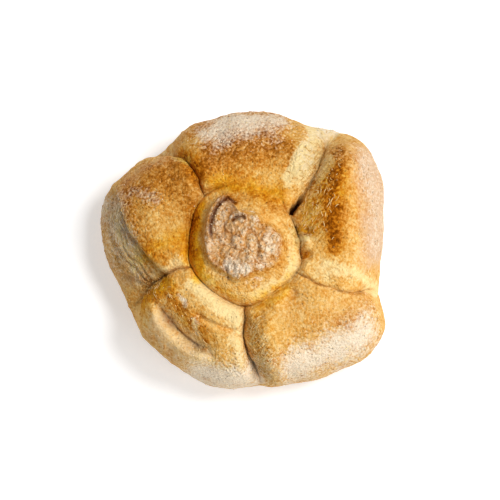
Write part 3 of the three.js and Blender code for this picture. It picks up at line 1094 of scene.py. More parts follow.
    # partly real golden crust, partly painted shade: the crown's left side, the inner slopes of the right
    # and lower petals, creases and pits
    golden: tuple[Band, ...] = (
        Band((-15.9, 17.8), (-16.6, -12.2), -2.2, 2.8, 0.98),
        Band((-16.8, -7.4), (-3.0, -19.6), -1.1, 2.6, 0.60),
        Band((17.4, 8.9), (15.2, -14.0), 2.6, 3.0, 0.34),
        Band((-3.2, -19.7), (16.6, -14.5), -1.1, 2.5, 0.35),
        Band((-13.5, 23.3), (15.2, 16.7), 0.7, 4.0, 0.78),
        Band((-24.5, 36.0), (-15.0, 23.4), 0.0, 4.0, 0.70),
        Band((-10.9, 27.4), (16.6, 27.4), 0.7, 7.0, 0.20),
        Band((29.0, 22.2), (22.8, 6.0), -1.5, 5.0, 0.60),
        Band((33.5, 30.1), (31.3, -4.3), -0.7, 4.5, 0.70),
        Band((20.6, 5.6), (23.8, 4.8), 0.0, 1.3, 0.85),
        Band((22.4, -2.4), (22.2, -4.6), 0.0, 1.3, 0.60),
        Band((-20.1, 5.2), (-40.9, -6.1), 0.0, 5.5, 0.66),
        Band((-48.7, 19.0), (-41.4, -13.5), -1.1, 5.0, 0.36),
        Band((-39.2, -20.6), (-26.2, -11.7), 0.0, 4.2, 0.92),
        Band((-27.6, -14.6), (-11.0, -34.0), -1.2, 3.0, 0.52),
        Band((1.9, -23.4), (10.0, -48.6), -0.7, 4.0, 0.40),
        Band((2.7, -23.2), (17.4, -14.3), 0.0, 3.0, 0.50),
        Band((6.3, -30.8), (31.3, -19.7), 0.0, 6.0, 0.22),
        Band((-36.0, -24.0), (-14.0, -41.0), -2.9, 6.0, 0.24),
        Band((-8.0, 5.0), (12.0, -6.0), 0.0, 8.0, 0.16),
    )
    pulled: tuple[Band, ...] = (
        Band((-48.0, 18.0), (-37.0, -16.0), -1.0, 6.0, 0.95),
        Band((31.0, 34.0), (23.0, 0.0), -1.5, 5.0, 0.90),
        Band((19.6, 21.7), (31.3, 41.0), 1.1, 3.7, 0.50),
        Band((3.0, -25.0), (10.5, -48.0), -0.7, 4.0, 0.90),
        Band((-39.0, -18.0), (-30.0, -12.0), 0.0, 3.0, 0.70),
        Band((-27.0, -16.0), (-11.0, -36.0), -2.9, 3.0, 0.45),
    )

    def patches(self, place: Place, bands: tuple[Band, ...], seed: int) -> Grid:
        """Bands laid over each other, with edges that stray by random fields and fade on the flanks.

        Args:
            place: Places on the body.
            bands: The bands of the tone.
            seed: Seed of the straying.

        Returns:
            The tone, between 0 and 1.
        """
        x_noise = DoughNoise(seed, self.stray_size, layers=self.stray_layers)
        y_noise = replace(x_noise, seed=seed + self.y_seed)
        level_noise = DoughNoise(seed + self.level_seed, self.fade_size, self.fade_stray, self.stray_layers)
        stray = self.stray_height * (1.0 + self.flank_stray * smooth_fall(place.level, *self.fade_levels))
        strayed_x = place.x + stray * x_noise.at(place)
        strayed_y = place.y + stray * y_noise.at(place)
        strayed = replace(place, x=strayed_x, y=strayed_y)
        bare = np.ones_like(place.x)
        for band in bands:
            bare = bare * (1.0 - band.cover(strayed, self.end_taper))
        return (1.0 - bare) * smooth_rise(place.level + level_noise.at(place), *self.fade_levels)

    def painted_shades(self, place: Place, roll: "RollCrust") -> Grid:
        """Painted shade: the largest of the masks of seams, hole, recess, cracks, hollow and folds.

        Args:
            place: Places on the body.
            roll: The roll with its forms.

        Returns:
            The painted shade, between 0 and 1.
        """
        crown = roll.crown
        return np.maximum.reduce([
            self.seam_shade * roll.creases.lines(place, roll.body),
            roll.creases.hole(place, roll.body),
            self.recess_shade * crown.recess_edge(place),
            self.crack_shade * np.clip(crown.crack_mask(place), 0.0, 1.0),
            self.hollow_shade * crown.hollow_mask(place),
            self.wrinkle_shade * crown.fold_lines(place),
            self.fold_shade * roll.petals.fold_line(place),
        ])

    def tones(self, place: Place, roll: "RollCrust") -> dict[Tone, Grid]:
        """All tones of the crust: their bands, and what lies on the cap, in its valleys and low down.

        Args:
            place: Places on the body.
            roll: The roll with its forms.

        Returns:
            Values between 0 and 1 for each tone.
        """
        crown = roll.crown
        low = smooth_fall(place.level, *self.low_levels)
        cap = crown.cap_mask(place)
        top = crown.cap_top(place)
        off_wall = np.where(cap > self.on_cap, top, 1.0)
        lumps = smooth_rise(np.abs(crown.folds(place)), *self.lump_range)
        valley = smooth_fall(crown.creased(place), *self.valley_range) * top
        share, left = crown.lip.beside(place)
        lip = taper(share, self.lip_taper) * bell(left + self.lip_inset, self.lip_width)
        bands = (self.baked, self.floured, self.veiled, self.cream, self.golden, self.pulled)
        baked, floured, veiled, *others = map(self.patches, itertools.repeat(place), bands, self.seeds)
        baked = np.maximum(baked, self.baked_ground)
        baked = np.maximum(baked, (self.cap_baked + self.valley_baked * valley) * cap)
        floured = np.maximum(floured, self.floured_ground + self.low_flour * low) * off_wall
        floured = np.maximum(floured, (self.cap_flour + self.lump_flour * lumps) * top)
        floured = floured * (1.0 - self.valley_flour * valley)
        layers = [veiled * off_wall, self.cap_veil * top, self.lip_veil * lip, self.low_veil * low]
        veiled = np.maximum.reduce(layers) * (1.0 - self.valley_veil * valley)
        return dict(zip(Tone, (baked, floured, veiled, *others, self.painted_shades(place, roll))))


def linear(red: int, green: int, blue: int) -> Colour:
    """Scene-linear colour of a display colour given in bytes: straight up to the sRGB knee, a power above.

    Args:
        red: Red, 0 to 255.
        green: Green, 0 to 255.
        blue: Blue, 0 to 255.

    Returns:
        Red, green, blue and alpha.
    """
    shares = np.array([red, green, blue]) / BYTE_TOP
    powers = ((shares + SRGB_OFFSET) / (1.0 + SRGB_OFFSET)) ** SRGB_POWER
    return (*np.where(shares <= SRGB_KNEE, shares / SRGB_SLOPE, powers).tolist(), 1.0)


@dataclass
class Wiring:
    """Adds nodes to a tree and joins their sockets."""

    tree: bpy.types.NodeTree

    def feed(self, node: bpy.types.Node, inputs: dict[Any, Any]) -> None:
        """Sets inputs of a node; an input that is given a socket gets a link.

        Args:
            node: The node.
            inputs: Values or sockets by name or index.
        """
        for name, value in inputs.items():
            if isinstance(value, Socket):
                self.tree.links.new(value, node.inputs[name])
            else:
                node.inputs[name].default_value = value

    def add(self, kind: str, inputs: dict[Any, Any] | None = None, **settings: Any) -> bpy.types.Node:
        """New node with its settings and inputs.

        Args:
            kind: Type of the node.
            inputs: Values or sockets by name or index.
            settings: Properties of the node.

        Returns:
            The node.
        """
        node = self.tree.nodes.new(kind)
        for name, value in settings.items():
            setattr(node, name, value)
        self.feed(node, inputs or {})
        return node

    def math(self, operation: str, *values: Any) -> Socket:
        """Result of a Math node."""
        return self.add("ShaderNodeMath", dict(enumerate(values)), operation=operation).outputs[0]

    def product(self, first: Any, second: Any) -> Socket:
        """Product of two values."""
        return self.math("MULTIPLY", first, second)

    def line(self, value: Any, slope: Any, start: Any) -> Socket:
        """Value times slope, plus start."""
        return self.math("MULTIPLY_ADD", value, slope, start)

    def stray(self, value: Any, *noises: tuple[Any, Any]) -> Socket:
        """Value raised and lowered by noises about their middle.

        Args:
            value: The value.
            noises: Each noise with its amount.

        Returns:
            The value with all noises.
        """
        for noise, amount in noises:
            value = self.line(self.math("SUBTRACT", noise, NOISE_MIDDLE), amount, value)
        return value

    def between(self, value: Any, low: float, high: float) -> Socket:
        """Smooth 0 to 1 as a value goes from low to high."""
        inputs = {"Value": value, "From Min": low, "From Max": high}
        return self.add("ShaderNodeMapRange", inputs, interpolation_type="SMOOTHSTEP").outputs[0]

    def blend(self, share: Any, first: Any, second: Any, way: str = "MIX") -> Socket:
        """Mix of two colours by a share, or their product by that share."""
        inputs = {0: share, MIX_FIRST_COLOUR: first, MIX_SECOND_COLOUR: second}
        return self.add("ShaderNodeMix", inputs, data_type="RGBA", blend_type=way).outputs[MIX_COLOUR]

    def noise(self, where: Any, size: float, bend: float = 0.0) -> Socket:
        """Noise with features of about size metres, bent by its own noise.

        Args:
            where: Coordinates.
            size: Size of the features.
            bend: How far the noise is bent.

        Returns:
            The noise, about its middle.
        """
        inputs = {
            "Vector": where,
            "Scale": 1.0 / size,
            "Detail": NOISE_DETAIL,
            "Roughness": NOISE_ROUGHNESS,
            "Distortion": bend,
        }
        return self.add("ShaderNodeTexNoise", inputs).outputs[0]

    def cells(self, where: Any, size: float) -> tuple[Socket, Socket]:
        """Cells of a Voronoi pattern.

        Args:
            where: Coordinates.
            size: Side of a cell in metres.

        Returns:
            Distance from the middle of the cell and the cell's own random number.
        """
        pattern = self.add("ShaderNodeTexVoronoi", {"Vector": where, "Scale": 1.0 / size}).outputs
        own = self.add("ShaderNodeSeparateColor", {0: pattern["Color"]}).outputs[0]
        return pattern["Distance"], own

    def specks(self, where: Any, size: float, reach: Point, share: float) -> Socket:
        """Small round specks in a share of the cells of a Voronoi pattern.

        Args:
            where: Coordinates.
            size: Side of a cell in metres.
            reach: Distances, in cells, of full and no speck.
            share: Share of the cells that have a speck.

        Returns:
            Mask of the specks.
        """
        distance, own = self.cells(where, size)
        near = self.between(distance, reach[1], reach[0])
        return self.product(near, self.math("LESS_THAN", own, share))


@dataclass(frozen=True)
class CrustGrain:
    """Shared grain of baked dough: mottling, fine grain, crumbs, flour specks and pores."""

    name: str = "crust_grain"
    mottle_size: float = 0.0065
    patch_size: float = 0.0022
    patch_height: float = 0.25
    grain_size: float = 0.0009
    grain_range: Point = (0.30, 0.70)
    grain_height: float = 0.5
    crumb_size: float = 0.0010
    crumb_height: float = -0.45
    speck_size: float = 0.0012
    speck_reach: Point = (0.15, 0.40)
    speck_share: float = 0.22
    speck_height: float = 0.35
    pore_size: float = 0.0016
    pore_reach: Point = (0.10, 0.26)
    pore_share: float = 0.55
    pore_height: float = -0.6

    def group(self) -> bpy.types.NodeTree:
        """The node group, made once.

        Returns:
            Group with a Vector input and outputs Mottle, Patch, Grain, Crumb, Speck, Pore and Height.
        """
        if self.name in bpy.data.node_groups:
            return bpy.data.node_groups[self.name]
        tree = bpy.data.node_groups.new(self.name, "ShaderNodeTree")
        tree.interface.new_socket("Vector", in_out="INPUT", socket_type="NodeSocketVector")
        for output in GRAIN_OUTPUTS:
            tree.interface.new_socket(output, in_out="OUTPUT", socket_type="NodeSocketFloat")
        wiring = Wiring(tree)
        where = wiring.add("NodeGroupInput").outputs["Vector"]
        mottle = wiring.noise(where, self.mottle_size)
        patch = wiring.noise(where, self.patch_size)
        grain = wiring.between(wiring.noise(where, self.grain_size), *self.grain_range)
        distance, crumb = wiring.cells(where, self.crumb_size)
        speck = wiring.specks(where, self.speck_size, self.speck_reach, self.speck_share)
        pore = wiring.specks(where, self.pore_size, self.pore_reach, self.pore_share)
        height = wiring.line(patch, self.patch_height, wiring.product(grain, self.grain_height))
        height = wiring.line(distance, self.crumb_height, height)
        height = wiring.line(speck, self.speck_height, height)
        height = wiring.line(pore, self.pore_height, height)
        made = (mottle, patch, grain, crumb, speck, pore, height)
        wiring.add("NodeGroupOutput", dict(zip(GRAIN_OUTPUTS, made)))
        return tree


class DoughWiring(Wiring):
    """Wiring of a new material, with its shader, Object coordinates and the shared grain."""

    def __init__(self, name: str, grain: CrustGrain) -> None:
        """Makes the material and the nodes that all dough has.

        Args:
            name: Name of the material.
            grain: The shared grain.
        """
        self.material = bpy.data.materials.new(name)
        self.material.use_nodes = True
        super().__init__(self.material.node_tree)
        self.shader = self.tree.nodes["Principled BSDF"]
        self.where = self.add("ShaderNodeTexCoord").outputs["Object"]
        self.grain = self.add("ShaderNodeGroup", {"Vector": self.where}, node_tree=grain.group()).outputs


@dataclass(frozen=True)
class CrustFinish:
    """Baked crust: straw to dark brown by baking, cream dough, flour dust and painted shade in seams, hole,
    cracks and hollows.

    A range gives where a blend starts and ends, and a rule a slope and a start over coarseness.
    """

    name: str = "baked_crust"
    bake_colours: tuple[tuple[float, Colour], ...] = (
        (0.0, linear(236, 196, 122)),
        (0.30, linear(222, 165, 82)),
        (0.55, linear(202, 131, 46)),
        (0.80, linear(162, 95, 20)),
        (1.0, linear(124, 69, 9)),
    )
    baked_mottle: float = 0.60
    baked_patch: float = 0.70
    baked_grain: float = 0.34
    baked_crumb_rule: Point = (0.20, 0.09)
    baked_fibres: float = -0.6
    coarse_pull: float = 0.4
    coarse_range: Point = (0.05, 0.85)
    cream_colour: Colour = linear(246, 217, 154)
    cream_patch: float = -0.8
    cream_grain: float = -0.25
    cream_range: Point = (0.15, 0.85)
    speckle_rule: Point = (-0.08, -0.03)
    speckle_grain: float = -0.03
    speckle_powers: Trio = (1.0, 1.2, 1.9)
    veil_colour: Colour = linear(220, 181, 142)
    veil_crumb: float = -0.14
    veil_grain: float = -0.20
    veil_range: Point = (0.05, 1.0)
    flour_colour: Colour = linear(246, 229, 203)
    flour_grain: float = -0.36
    flour_patch: float = 0.6
    flour_crumb: float = -0.18
    flour_fibres: float = 0.6
    flour_range: Point = (0.16, 1.0)
    flour_cover: float = 0.92
    # multiplies the colour towards olive: partly painted shade
    golden_and_shade_tint: Colour = (0.97, 0.78, 0.11, 1.0)
    golden_and_shade_patch: float = 0.8
    golden_and_shade_range: Point = (0.05, 0.9)
    clump_mottle_range: Point = (0.40, 0.62)
    clump_flour_range: Point = (0.0, 0.5)
    clump_coarse: float = 0.22
    pore_colour: Colour = linear(112, 64, 22)
    pore_rule: Point = (0.32, 0.10)
    # dark red-brown of the painted shade
    painted_shade_colour: Colour = linear(96, 38, 8)
    rough_flour_range: Point = (0.0, 0.8)
    rough_rule: Point = (0.25, 0.62)
    gloss: float = 0.03
    fibre_turns: Point = (-63.0, 50.0)
    fibre_size: Trio = (0.006, 0.0007, 0.003)
    fibre_bend: float = 0.8
    fibre_range: Point = (0.3, 0.7)
    height_rule: Point = (0.4, 0.6)
    height_fibres: float = 1.1
    bump_distance: float = 0.00085
    bump_strength: float = 0.9

    def material(self, grain: CrustGrain) -> bpy.types.Material:
        """The crust material: tones from the mesh, broken up by the shared grain.

        Args:
            grain: The shared grain.

        Returns:
            The material.
        """
        wiring = DoughWiring(self.name, grain)
        tone = {}
        for each in Tone:
            tone[each] = wiring.add("ShaderNodeAttribute", attribute_name=each.value).outputs["Fac"]
        mottle, patch, fine, crumb, speck, pore, height = (wiring.grain[name] for name in GRAIN_OUTPUTS)
        fibres = self.fibres(wiring)
        pull = tone[Tone.PULLED]
        worked = wiring.math("ADD", tone[Tone.BAKED], tone[Tone.FLOURED])
        coarse = wiring.between(wiring.line(pull, self.coarse_pull, worked), *self.coarse_range)
        baked = wiring.stray(
            tone[Tone.BAKED],
            (mottle, self.baked_mottle),
            (patch, self.baked_patch),
            (fine, self.baked_grain),
            (crumb, wiring.line(coarse, *self.baked_crumb_rule)),
            (fibres, wiring.product(pull, self.baked_fibres)),
        )
        cream = wiring.stray(tone[Tone.CREAM], (patch, self.cream_patch), (fine, self.cream_grain))
        speckle = wiring.line(coarse, *self.speckle_rule)
        level = wiring.stray(1.0, (crumb, speckle), (fine, self.speckle_grain))
        powers = [wiring.math("POWER", level, power) for power in self.speckle_powers]
        level = wiring.add("ShaderNodeCombineXYZ", dict(enumerate(powers))).outputs[0]
        veil = wiring.stray(tone[Tone.VEILED], (crumb, self.veil_crumb), (fine, self.veil_grain))
        dust = wiring.stray(
            tone[Tone.FLOURED],
            (fine, self.flour_grain),
            (patch, self.flour_patch),
            (crumb, self.flour_crumb),
            (fibres, wiring.product(pull, self.flour_fibres)),
        )
        dust = wiring.product(wiring.between(dust, *self.flour_range), self.flour_cover)
        golden = wiring.stray(tone[Tone.GOLDEN], (patch, self.golden_and_shade_patch))
        clump = wiring.between(mottle, *self.clump_mottle_range)
        clump = wiring.product(clump, wiring.between(dust, *self.clump_flour_range))
        clump = wiring.math("MAXIMUM", clump, wiring.product(coarse, self.clump_coarse))
        pitted = wiring.product(pore, wiring.line(coarse, *self.pore_rule))
        colour = self.bake_ramp(wiring, baked)
        colour = wiring.blend(wiring.between(cream, *self.cream_range), colour, self.cream_colour)
        colour = wiring.add("ShaderNodeVectorMath", {0: colour, 1: level}, operation="MULTIPLY").outputs[0]
        colour = wiring.blend(wiring.between(veil, *self.veil_range), colour, self.veil_colour)
        colour = wiring.blend(dust, colour, self.flour_colour)
        # golden tint, partly painted shade on shaded slopes and in creases and pits
        golden = wiring.between(golden, *self.golden_and_shade_range)
        colour = wiring.blend(golden, colour, self.golden_and_shade_tint, "MULTIPLY")
        colour = wiring.blend(wiring.product(speck, clump), colour, self.cream_colour)
        colour = wiring.blend(pitted, colour, self.pore_colour)
        # painted shade over seams, hole, recess edges, cracks, hollows, cap valleys and the fold line
        colour = wiring.blend(tone[Tone.GAP], colour, self.painted_shade_colour)
        height = wiring.product(height, wiring.line(coarse, *self.height_rule))
        height = wiring.stray(height, (fibres, wiring.product(pull, self.height_fibres)))
        bumps = {"Strength": self.bump_strength, "Distance": self.bump_distance, "Height": height}
        wiring.feed(wiring.shader, {
            "Base Color": colour,
            "Roughness": wiring.line(wiring.between(dust, *self.rough_flour_range), *self.rough_rule),
            "Normal": wiring.add("ShaderNodeBump", bumps).outputs[0],
            "Specular IOR Level": self.gloss,
        })
        return wiring.material

    def fibres(self, wiring: DoughWiring) -> Socket:
        """Noise drawn out into fibres, which run another way on each half of the roll.

        Args:
            wiring: The material's wiring.

        Returns:
            The noise, with more contrast.
        """
        sides = []
        for turn in self.fibre_turns:
            drawn = {
                "Vector": wiring.where,
                "Rotation": (0.0, 0.0, math.radians(turn)),
                "Scale": self.fibre_size,
            }
            mapped = wiring.add("ShaderNodeMapping", drawn, vector_type="TEXTURE").outputs[0]
            sides.append(wiring.noise(mapped, 1.0, self.fibre_bend))
        x = wiring.add("ShaderNodeSeparateXYZ", {0: wiring.where}).outputs[0]
        right = wiring.math("GREATER_THAN", x, 0.0)
        inputs = {0: right, MIX_FIRST_VALUE: sides[0], MIX_SECOND_VALUE: sides[1]}
        mixed = wiring.add("ShaderNodeMix", inputs).outputs[0]
        return wiring.between(mixed, *self.fibre_range)

    def bake_ramp(self, wiring: Wiring, baked: Socket) -> Socket:
        """Colour of the crust by how far it is baked.

        Args:
            wiring: The material's wiring.
            baked: How far the crust is baked.

        Returns:
            The colour.
        """
        ramp = wiring.add("ShaderNodeValToRGB", {0: baked})
        stops = ramp.color_ramp.elements
        for position, _ in self.bake_colours[1:-1]:
            stops.new(position)
        for stop, (position, colour) in zip(stops, self.bake_colours):
            stop.position = position
            stop.color = colour
        return ramp.outputs[0]


@dataclass(frozen=True)
class DryFinish:
    """Dry matt dough or flour: a dark and a pale colour mixed by the patches of the shared grain."""

    name: str
    pale: Colour
    dark: Colour
    roughness: float
    patch_range: Point | None = None
    gloss: float = 0.1

    def material(self, grain: CrustGrain) -> bpy.types.Material:
        """The material, with patches stretched over their range where one is given.

        Args:
            grain: The shared grain.

        Returns:
            The material.
        """
        wiring = DoughWiring(self.name, grain)
        share = wiring.grain["Patch"]
        if self.patch_range:
            share = wiring.between(share, *self.patch_range)
        wiring.feed(wiring.shader, {
            "Base Color": wiring.blend(share, self.dark, self.pale),
            "Roughness": self.roughness,
            "Specular IOR Level": self.gloss,
        })
        return wiring.material


FLOUR = DryFinish("flour", linear(250, 232, 200), linear(236, 206, 158), 0.9)
TORN_DOUGH = DryFinish("torn_dough", linear(244, 212, 148), linear(206, 156, 76), 0.75, (0.35, 0.65))


@dataclass
class DoughPiece:
    """Piece of the roll: one mesh with one finish."""

    name: str
    finish: CrustFinish | DryFinish

    def mesh_piece(self, spots: Grid, faces: list[list[int]]) -> bpy.types.Object:
        """Smooth mesh of the piece, in metres.

        Args:
            spots: Points in millimetres, with x, y and z in the last axis.
            faces: Numbers of the points round each face.

        Returns:
            The object.
        """
        mesh = bpy.data.meshes.new(self.name)
        mesh.from_pydata((spots.reshape(-1, 3) * METRE).tolist(), [], faces)
        mesh.shade_smooth()
        piece = bpy.data.objects.new(self.name, mesh)
        bpy.context.scene.collection.objects.link(piece)
        return piece

    def dress(self, piece: bpy.types.Object, grain: CrustGrain) -> None:
        """Gives the piece its material."""
        piece.data.materials.append(self.finish.material(grain))


@dataclass
class RollCrust(DoughPiece):
    """The whole roll as one closed skin."""

    name: str = "roll_crust"
    finish: CrustFinish = CrustFinish()
    axis: Point = (0.616, -1.498)
    body: Body = field(default_factory=Body)
    creases: Creases = field(default_factory=Creases)
    crown: Crown = field(default_factory=Crown)
    petals: PetalForms = field(default_factory=PetalForms)
    skin: CrustSkin = field(default_factory=CrustSkin)
    tones: CrustTones = field(default_factory=CrustTones)

    def surface(self) -> tuple[Grid, dict[Tone, Grid]]:
        """Points of the crust: the plain body moved along its normals by all forms together.

        Returns:
            Points as rows, columns and x, y, z in millimetres, and the tones at them.
        """
        rows = self.body.meridian()
        place = self.body.places(rows)
        rise = self.crown.rise(place) + self.petals.rise(place) + self.skin.rise(place)
        rise = (rise - self.creases.carve(place, self.body)) * rows.fade[:, None]
        angle = np.radians(place.turn)
        radius = place.radius + rise * rows.outward[:, None]
        x = self.axis[0] + radius * np.cos(angle)
        y = self.axis[1] + radius * np.sin(angle)
        z = place.level + rise * rows.upward[:, None]
        return np.stack([x, y, np.maximum(z, 0.0)], axis=-1), self.tones.tones(place, self)

    def build(self, points: Grid, tones: dict[Tone, Grid]) -> bpy.types.Object:
        """Closed mesh: quads between the rows, fans at the two poles, and the tones as attributes.

        Args:
            points: Points of the crust.
            tones: The tones at them.

        Returns:
            The object.
        """
        rows, columns = points.shape[:2]
        last = 1 + (rows - 2) * columns
        index = np.arange(1, last).reshape(rows - 2, columns)
        beside = np.roll(index, -1, axis=1)
        top = np.stack([np.zeros(columns, int), index[0], beside[0]], axis=-1)
        bottom = np.stack([np.full(columns, last), beside[-1], index[-1]], axis=-1)
        faces = tube_quads(index).tolist() + top.tolist() + bottom.tolist()
        piece = self.mesh_piece(with_poles(points), faces)
        for tone, values in tones.items():
            layer = piece.data.attributes.new(tone.value, "FLOAT", "POINT")
            layer.data.foreach_set("value", with_poles(values).astype(np.float32))
        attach(piece, "root")
        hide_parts("roll")
        return piece


@dataclass
class FlourGrains(DoughPiece):
    """Loose grains of flour and semolina that stick to the crust."""

    name: str = "flour_grains"
    finish: DryFinish = FLOUR
    count: int = 1300
    radii: Point = (0.11, 0.28)
    uneven: float = 0.25
    lean: float = 1.5
    low_level: float = 6.0
    spot_seed: int = 8
    shape_seed: int = 9
    belt: int = 5

    def lump(self) -> tuple[Grid, Grid]:
        """Icosahedron of radius 1: two poles and two belts of five corners, 1/sqrt(5) up and down.

        Returns:
            Twelve corners and twenty triangles.
        """
        here = np.arange(self.belt)
        upper, upper_next = 1 + here, 1 + (here + 1) % self.belt
        lower, lower_next = upper + self.belt, upper_next + self.belt
        top, bottom = np.zeros(self.belt, int), np.full(self.belt, 2 * self.belt + 1)
        high = 1.0 / math.sqrt(5.0)
        wide = 2.0 * high
        turn = np.radians(here * FULL_TURN / self.belt)
        corners = [[[0.0, 0.0, 1.0]]]
        for angle, level in ((turn, high), (turn + math.pi / self.belt, -high)):
            belt = [wide * np.cos(angle), wide * np.sin(angle), np.full(self.belt, level)]
            corners.append(np.stack(belt, axis=-1))
        corners.append([[0.0, 0.0, -1.0]])
        triangles = [
            (top, upper, upper_next),
            (upper, lower, upper_next),
            (upper_next, lower, lower_next),
            (bottom, lower_next, lower),
        ]
        return np.concatenate(corners), np.concatenate([np.stack(each, axis=-1) for each in triangles])

    def spots(self, points: Grid, floured: Grid) -> Grid:
        """Places of the grains: grid points picked at random, weighted by flour and by area.

        Args:
            points: The crust's points in millimetres.
            floured: The flour tone at them.

        Returns:
            Places on the crust's surface.
        """
        across = np.roll(points, -1, axis=1) - np.roll(points, 1, axis=1)
        down = np.gradient(points, axis=0)
        area = np.linalg.norm(np.cross(down, across), axis=-1)
        weight = area * floured**self.lean * (points[..., 2] > self.low_level)
        weight[0] = 0.0
        chosen = pick(np.random.default_rng(self.spot_seed), weight, self.count)
        return points.reshape(-1, 3)[chosen]

    def build(self, points: Grid, floured: Grid) -> bpy.types.Object:
        """One mesh of all grains: uneven lumps of random size.

        Args:
            points: The crust's points in millimetres.
            floured: The flour tone at them.

        Returns:
            The object.
        """
        corners, triangles = self.lump()
        spots = self.spots(points, floured)
        picker = np.random.default_rng(self.shape_seed)
        radius = mostly_small(picker, self.radii, self.count)
        shape = corners * (1.0 + self.uneven * picker.uniform(-1.0, 1.0, (self.count, len(corners), 1)))
        places = spots[:, None, :] + shape * radius[:, None, None]
        offsets = len(corners) * np.arange(self.count)[:, None, None]
        piece = self.mesh_piece(places, (triangles + offsets).reshape(-1, 3).tolist())
        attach(piece, "root")
        return piece


@dataclass
class DoughStrands(DoughPiece):
    """Short torn threads of dough that lie on the pulled parts of the crust."""

    name: str = "dough_strands"
    finish: DryFinish = TORN_DOUGH
    count: int = 820
    lengths: Point = (0.8, 3.2)
    radius: float = 0.145
    steps: int = 6
    sides: int = 4
    slant: float = 45.0
    bend: float = 70.0
    lift: float = 0.12
    thin_end: float = 0.2
    lean: float = 1.5
    bare_top_rows: int = 2
    bare_low_rows: int = 20
    seed: int = 15

    def paths(self, points: Grid, pulled: Grid) -> tuple[Grid, Grid]:
        """Middle lines of the strands: arcs of random slant and bend, laid on the crust's grid.

        Args:
            points: The crust's points in millimetres.
            pulled: The tone of pulled dough at them.

        Returns:
            Points along each strand and the crust's normals there.
        """
        down = np.gradient(points, axis=0)
        across = np.roll(points, -1, axis=1) - points
        normal = np.cross(down, across)
        area = np.linalg.norm(normal, axis=-1)
        weight = area * pulled**self.lean
        weight[:self.bare_top_rows] = 0.0
        weight[-self.bare_low_rows:] = 0.0
        picker = np.random.default_rng(self.seed)
        row, column = np.unravel_index(pick(picker, weight, self.count), weight.shape)
        length = mostly_small(picker, self.lengths, self.count)
        along = np.linspace(-0.5, 0.5, self.steps + 1)
        slant = np.radians(self.slant * picker.standard_normal(self.count))
        bend = np.radians(self.bend * picker.standard_normal(self.count))
        heading = slant[:, None] + bend[:, None] * along
        step = (length / self.steps)[:, None]
        row_size = np.linalg.norm(down[row, column], axis=-1)[:, None]
        column_size = np.linalg.norm(across[row, column], axis=-1)[:, None]
        rows = row[:, None] + np.cumsum(np.sin(heading) * step, axis=1) / row_size
        rows = np.clip(rows, 1, len(points) - 2)
        columns = column[:, None] + np.cumsum(np.cos(heading) * step, axis=1) / column_size
        unit = normal / np.maximum(area, TINY)[..., None]
        return self.between(points, rows, columns), self.between(unit, rows, columns)

    def between(self, values: Grid, rows: Grid, columns: Grid) -> Grid:
        """Values of the grid at places between its points, from the four points round each.

        Args:
            values: Values on the grid.
            rows: Rows, with fractions.
            columns: Columns, with fractions.

        Returns:
            The values.
        """
        row, column = np.floor(rows).astype(int), np.floor(columns).astype(int)
        low, left = (rows - row)[..., None], (columns - column)[..., None]
        here, beside = column % values.shape[1], (column + 1) % values.shape[1]
        near = values[row, here] * (1.0 - left) + values[row, beside] * left
        far = values[row + 1, here] * (1.0 - left) + values[row + 1, beside] * left
        return near * (1.0 - low) + far * low

    def build(self, points: Grid, pulled: Grid) -> bpy.types.Object:
        """One mesh of all strands: thin tubes round their middle lines, closed at the ends.

        Args:
            points: The crust's points in millimetres.
            pulled: The tone of pulled dough at them.

        Returns:
            The object.
        """
        middle, normal = self.paths(points, pulled)
        round_off = np.cos(np.linspace(-math.pi / 2, math.pi / 2, self.steps + 1))
        middle = middle + normal * (self.lift * round_off)[:, None]
        side = np.cross(normal, np.gradient(middle, axis=1))
        side = side / np.linalg.norm(side, axis=-1, keepdims=True)
        turn = 2 * math.pi * np.arange(self.sides) / self.sides
        radius = self.radius * (self.thin_end + (1.0 - self.thin_end) * round_off)[:, None, None]
        ring = side[:, :, None] * np.cos(turn)[:, None] + normal[:, :, None] * np.sin(turn)[:, None]
        spots = middle[:, :, None] + radius * ring
        index = np.arange(spots.size // 3).reshape(spots.shape[:-1])
        ends = np.concatenate([index[:, 0], index[:, -1, ::-1]])
        piece = self.mesh_piece(spots, tube_quads(index).tolist() + ends.tolist())
        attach(piece, "root")
        return piece


@dataclass(frozen=True)
class FloorFinish:
    """Matt pale floor that glows a little, like a light table."""

    name: str = "pale_floor"
    colour: Colour = (0.80, 0.80, 0.80, 1.0)
    roughness: float = 0.9
    gloss: float = 0.0
    glow_colour: Colour = WHITE
    glow: float = 0.39

    def material(self) -> bpy.types.Material:
        """The floor's material.

        Returns:
            The material.
        """
        material = bpy.data.materials.new(self.name)
        material.use_nodes = True
        Wiring(material.node_tree).feed(material.node_tree.nodes["Principled BSDF"], {
            "Base Color": self.colour,
            "Roughness": self.roughness,
            "Specular IOR Level": self.gloss,
            "Emission Color": self.glow_colour,
            "Emission Strength": self.glow,
        })
        return material


@dataclass(frozen=True)
class Lamp:
    """Round soft lamp that shines at the roll."""

    name: str
    place: Trio
    size: float
    power: float

    def build(self) -> bpy.types.Object:
        """The lamp, turned towards the middle of the floor.

        Returns:
            The lamp's object.
        """
        lamp = bpy.data.lights.new(self.name, "AREA")
        lamp.shape = "DISK"
        lamp.size = self.size
        lamp.energy = self.power
        piece = bpy.data.objects.new(self.name, lamp)
        piece.location = self.place
        piece.rotation_euler = (-Vector(self.place)).to_track_quat("-Z", "Y").to_euler()
        bpy.context.scene.collection.objects.link(piece)
        return piece


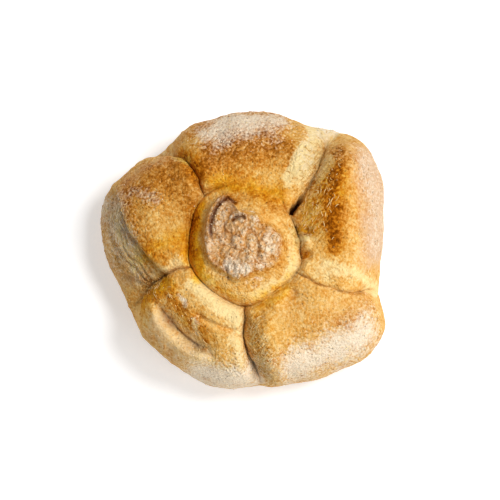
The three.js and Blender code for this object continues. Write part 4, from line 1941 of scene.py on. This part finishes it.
@dataclass
class Studio:
    """Pale floor, soft light from the right and a camera that looks almost straight down."""

    floor_half: float = 3.0
    finish: FloorFinish = field(default_factory=FloorFinish)
    sky_colour: Colour = WHITE
    sky_strength: float = 0.36
    lamps: tuple[Lamp, ...] = (
        Lamp("key", (0.52, 0.20, 1.06), 0.45, 11.0),
        Lamp("fill", (0.80, -0.60, 0.60), 0.60, 4.2),
    )
    elevation: float = 83.0
    distance: float = 1.0
    target: Trio = (0.002637, -0.000028, 0.015)
    view_width: float = 0.1836
    sensor: float = 36.0

    def build_floor(self) -> bpy.types.Object:
        """Flat square floor at the level of the roll's base.

        Returns:
            The floor.
        """
        half = self.floor_half
        corners = [(-half, -half, 0.0), (half, -half, 0.0), (half, half, 0.0), (-half, half, 0.0)]
        mesh = bpy.data.meshes.new("floor")
        mesh.from_pydata(corners, [], [(0, 1, 2, 3)])
        floor = bpy.data.objects.new("floor", mesh)
        mesh.materials.append(self.finish.material())
        bpy.context.scene.collection.objects.link(floor)
        return floor

    def build_light(self) -> None:
        """White surroundings and the lamps."""
        world = bpy.data.worlds.new("studio")
        world.use_nodes = True
        ground = world.node_tree.nodes["Background"]
        ground.inputs["Color"].default_value = self.sky_colour
        ground.inputs["Strength"].default_value = self.sky_strength
        bpy.context.scene.world = world
        for lamp in self.lamps:
            lamp.build()

    def build_camera(self) -> bpy.types.Object:
        """Long lens above the roll, tipped a little from the front.

        Returns:
            The camera.
        """
        angle = math.radians(self.elevation)
        back = Vector((0.0, -math.cos(angle), math.sin(angle)))
        lens = bpy.data.cameras.new("camera")
        lens.sensor_width = self.sensor
        lens.lens = self.sensor * self.distance / self.view_width
        camera = bpy.data.objects.new("camera", lens)
        camera.location = Vector(self.target) + back * self.distance
        camera.rotation_euler = (-back).to_track_quat("-Z", "Y").to_euler()
        bpy.context.scene.collection.objects.link(camera)
        bpy.context.scene.camera = camera
        return camera

    def set_view(self) -> None:
        """Plain display transform, so that crust colours keep their strength."""
        bpy.context.scene.view_settings.view_transform = "Standard"


def main() -> None:
    """Builds the studio and the roll, and reports each piece."""
    logging.basicConfig(level=logging.INFO, format="%(message)s")
    studio = Studio()
    studio.set_view()
    studio.build_camera()
    studio.build_floor()
    studio.build_light()
    grain = CrustGrain()
    roll = RollCrust()
    points, tones = roll.surface()
    crust = roll.build(points, tones)
    roll.dress(crust, grain)
    flour = FlourGrains()
    grains = flour.build(points, tones[Tone.FLOURED])
    flour.dress(grains, grain)
    strands = DoughStrands()
    threads = strands.build(points, tones[Tone.PULLED])
    strands.dress(threads, grain)
    for piece in (crust, grains, threads):
        LOG.info("%s: %d vertices", piece.name, len(piece.data.vertices))


if __name__ == "__main__":
    main()
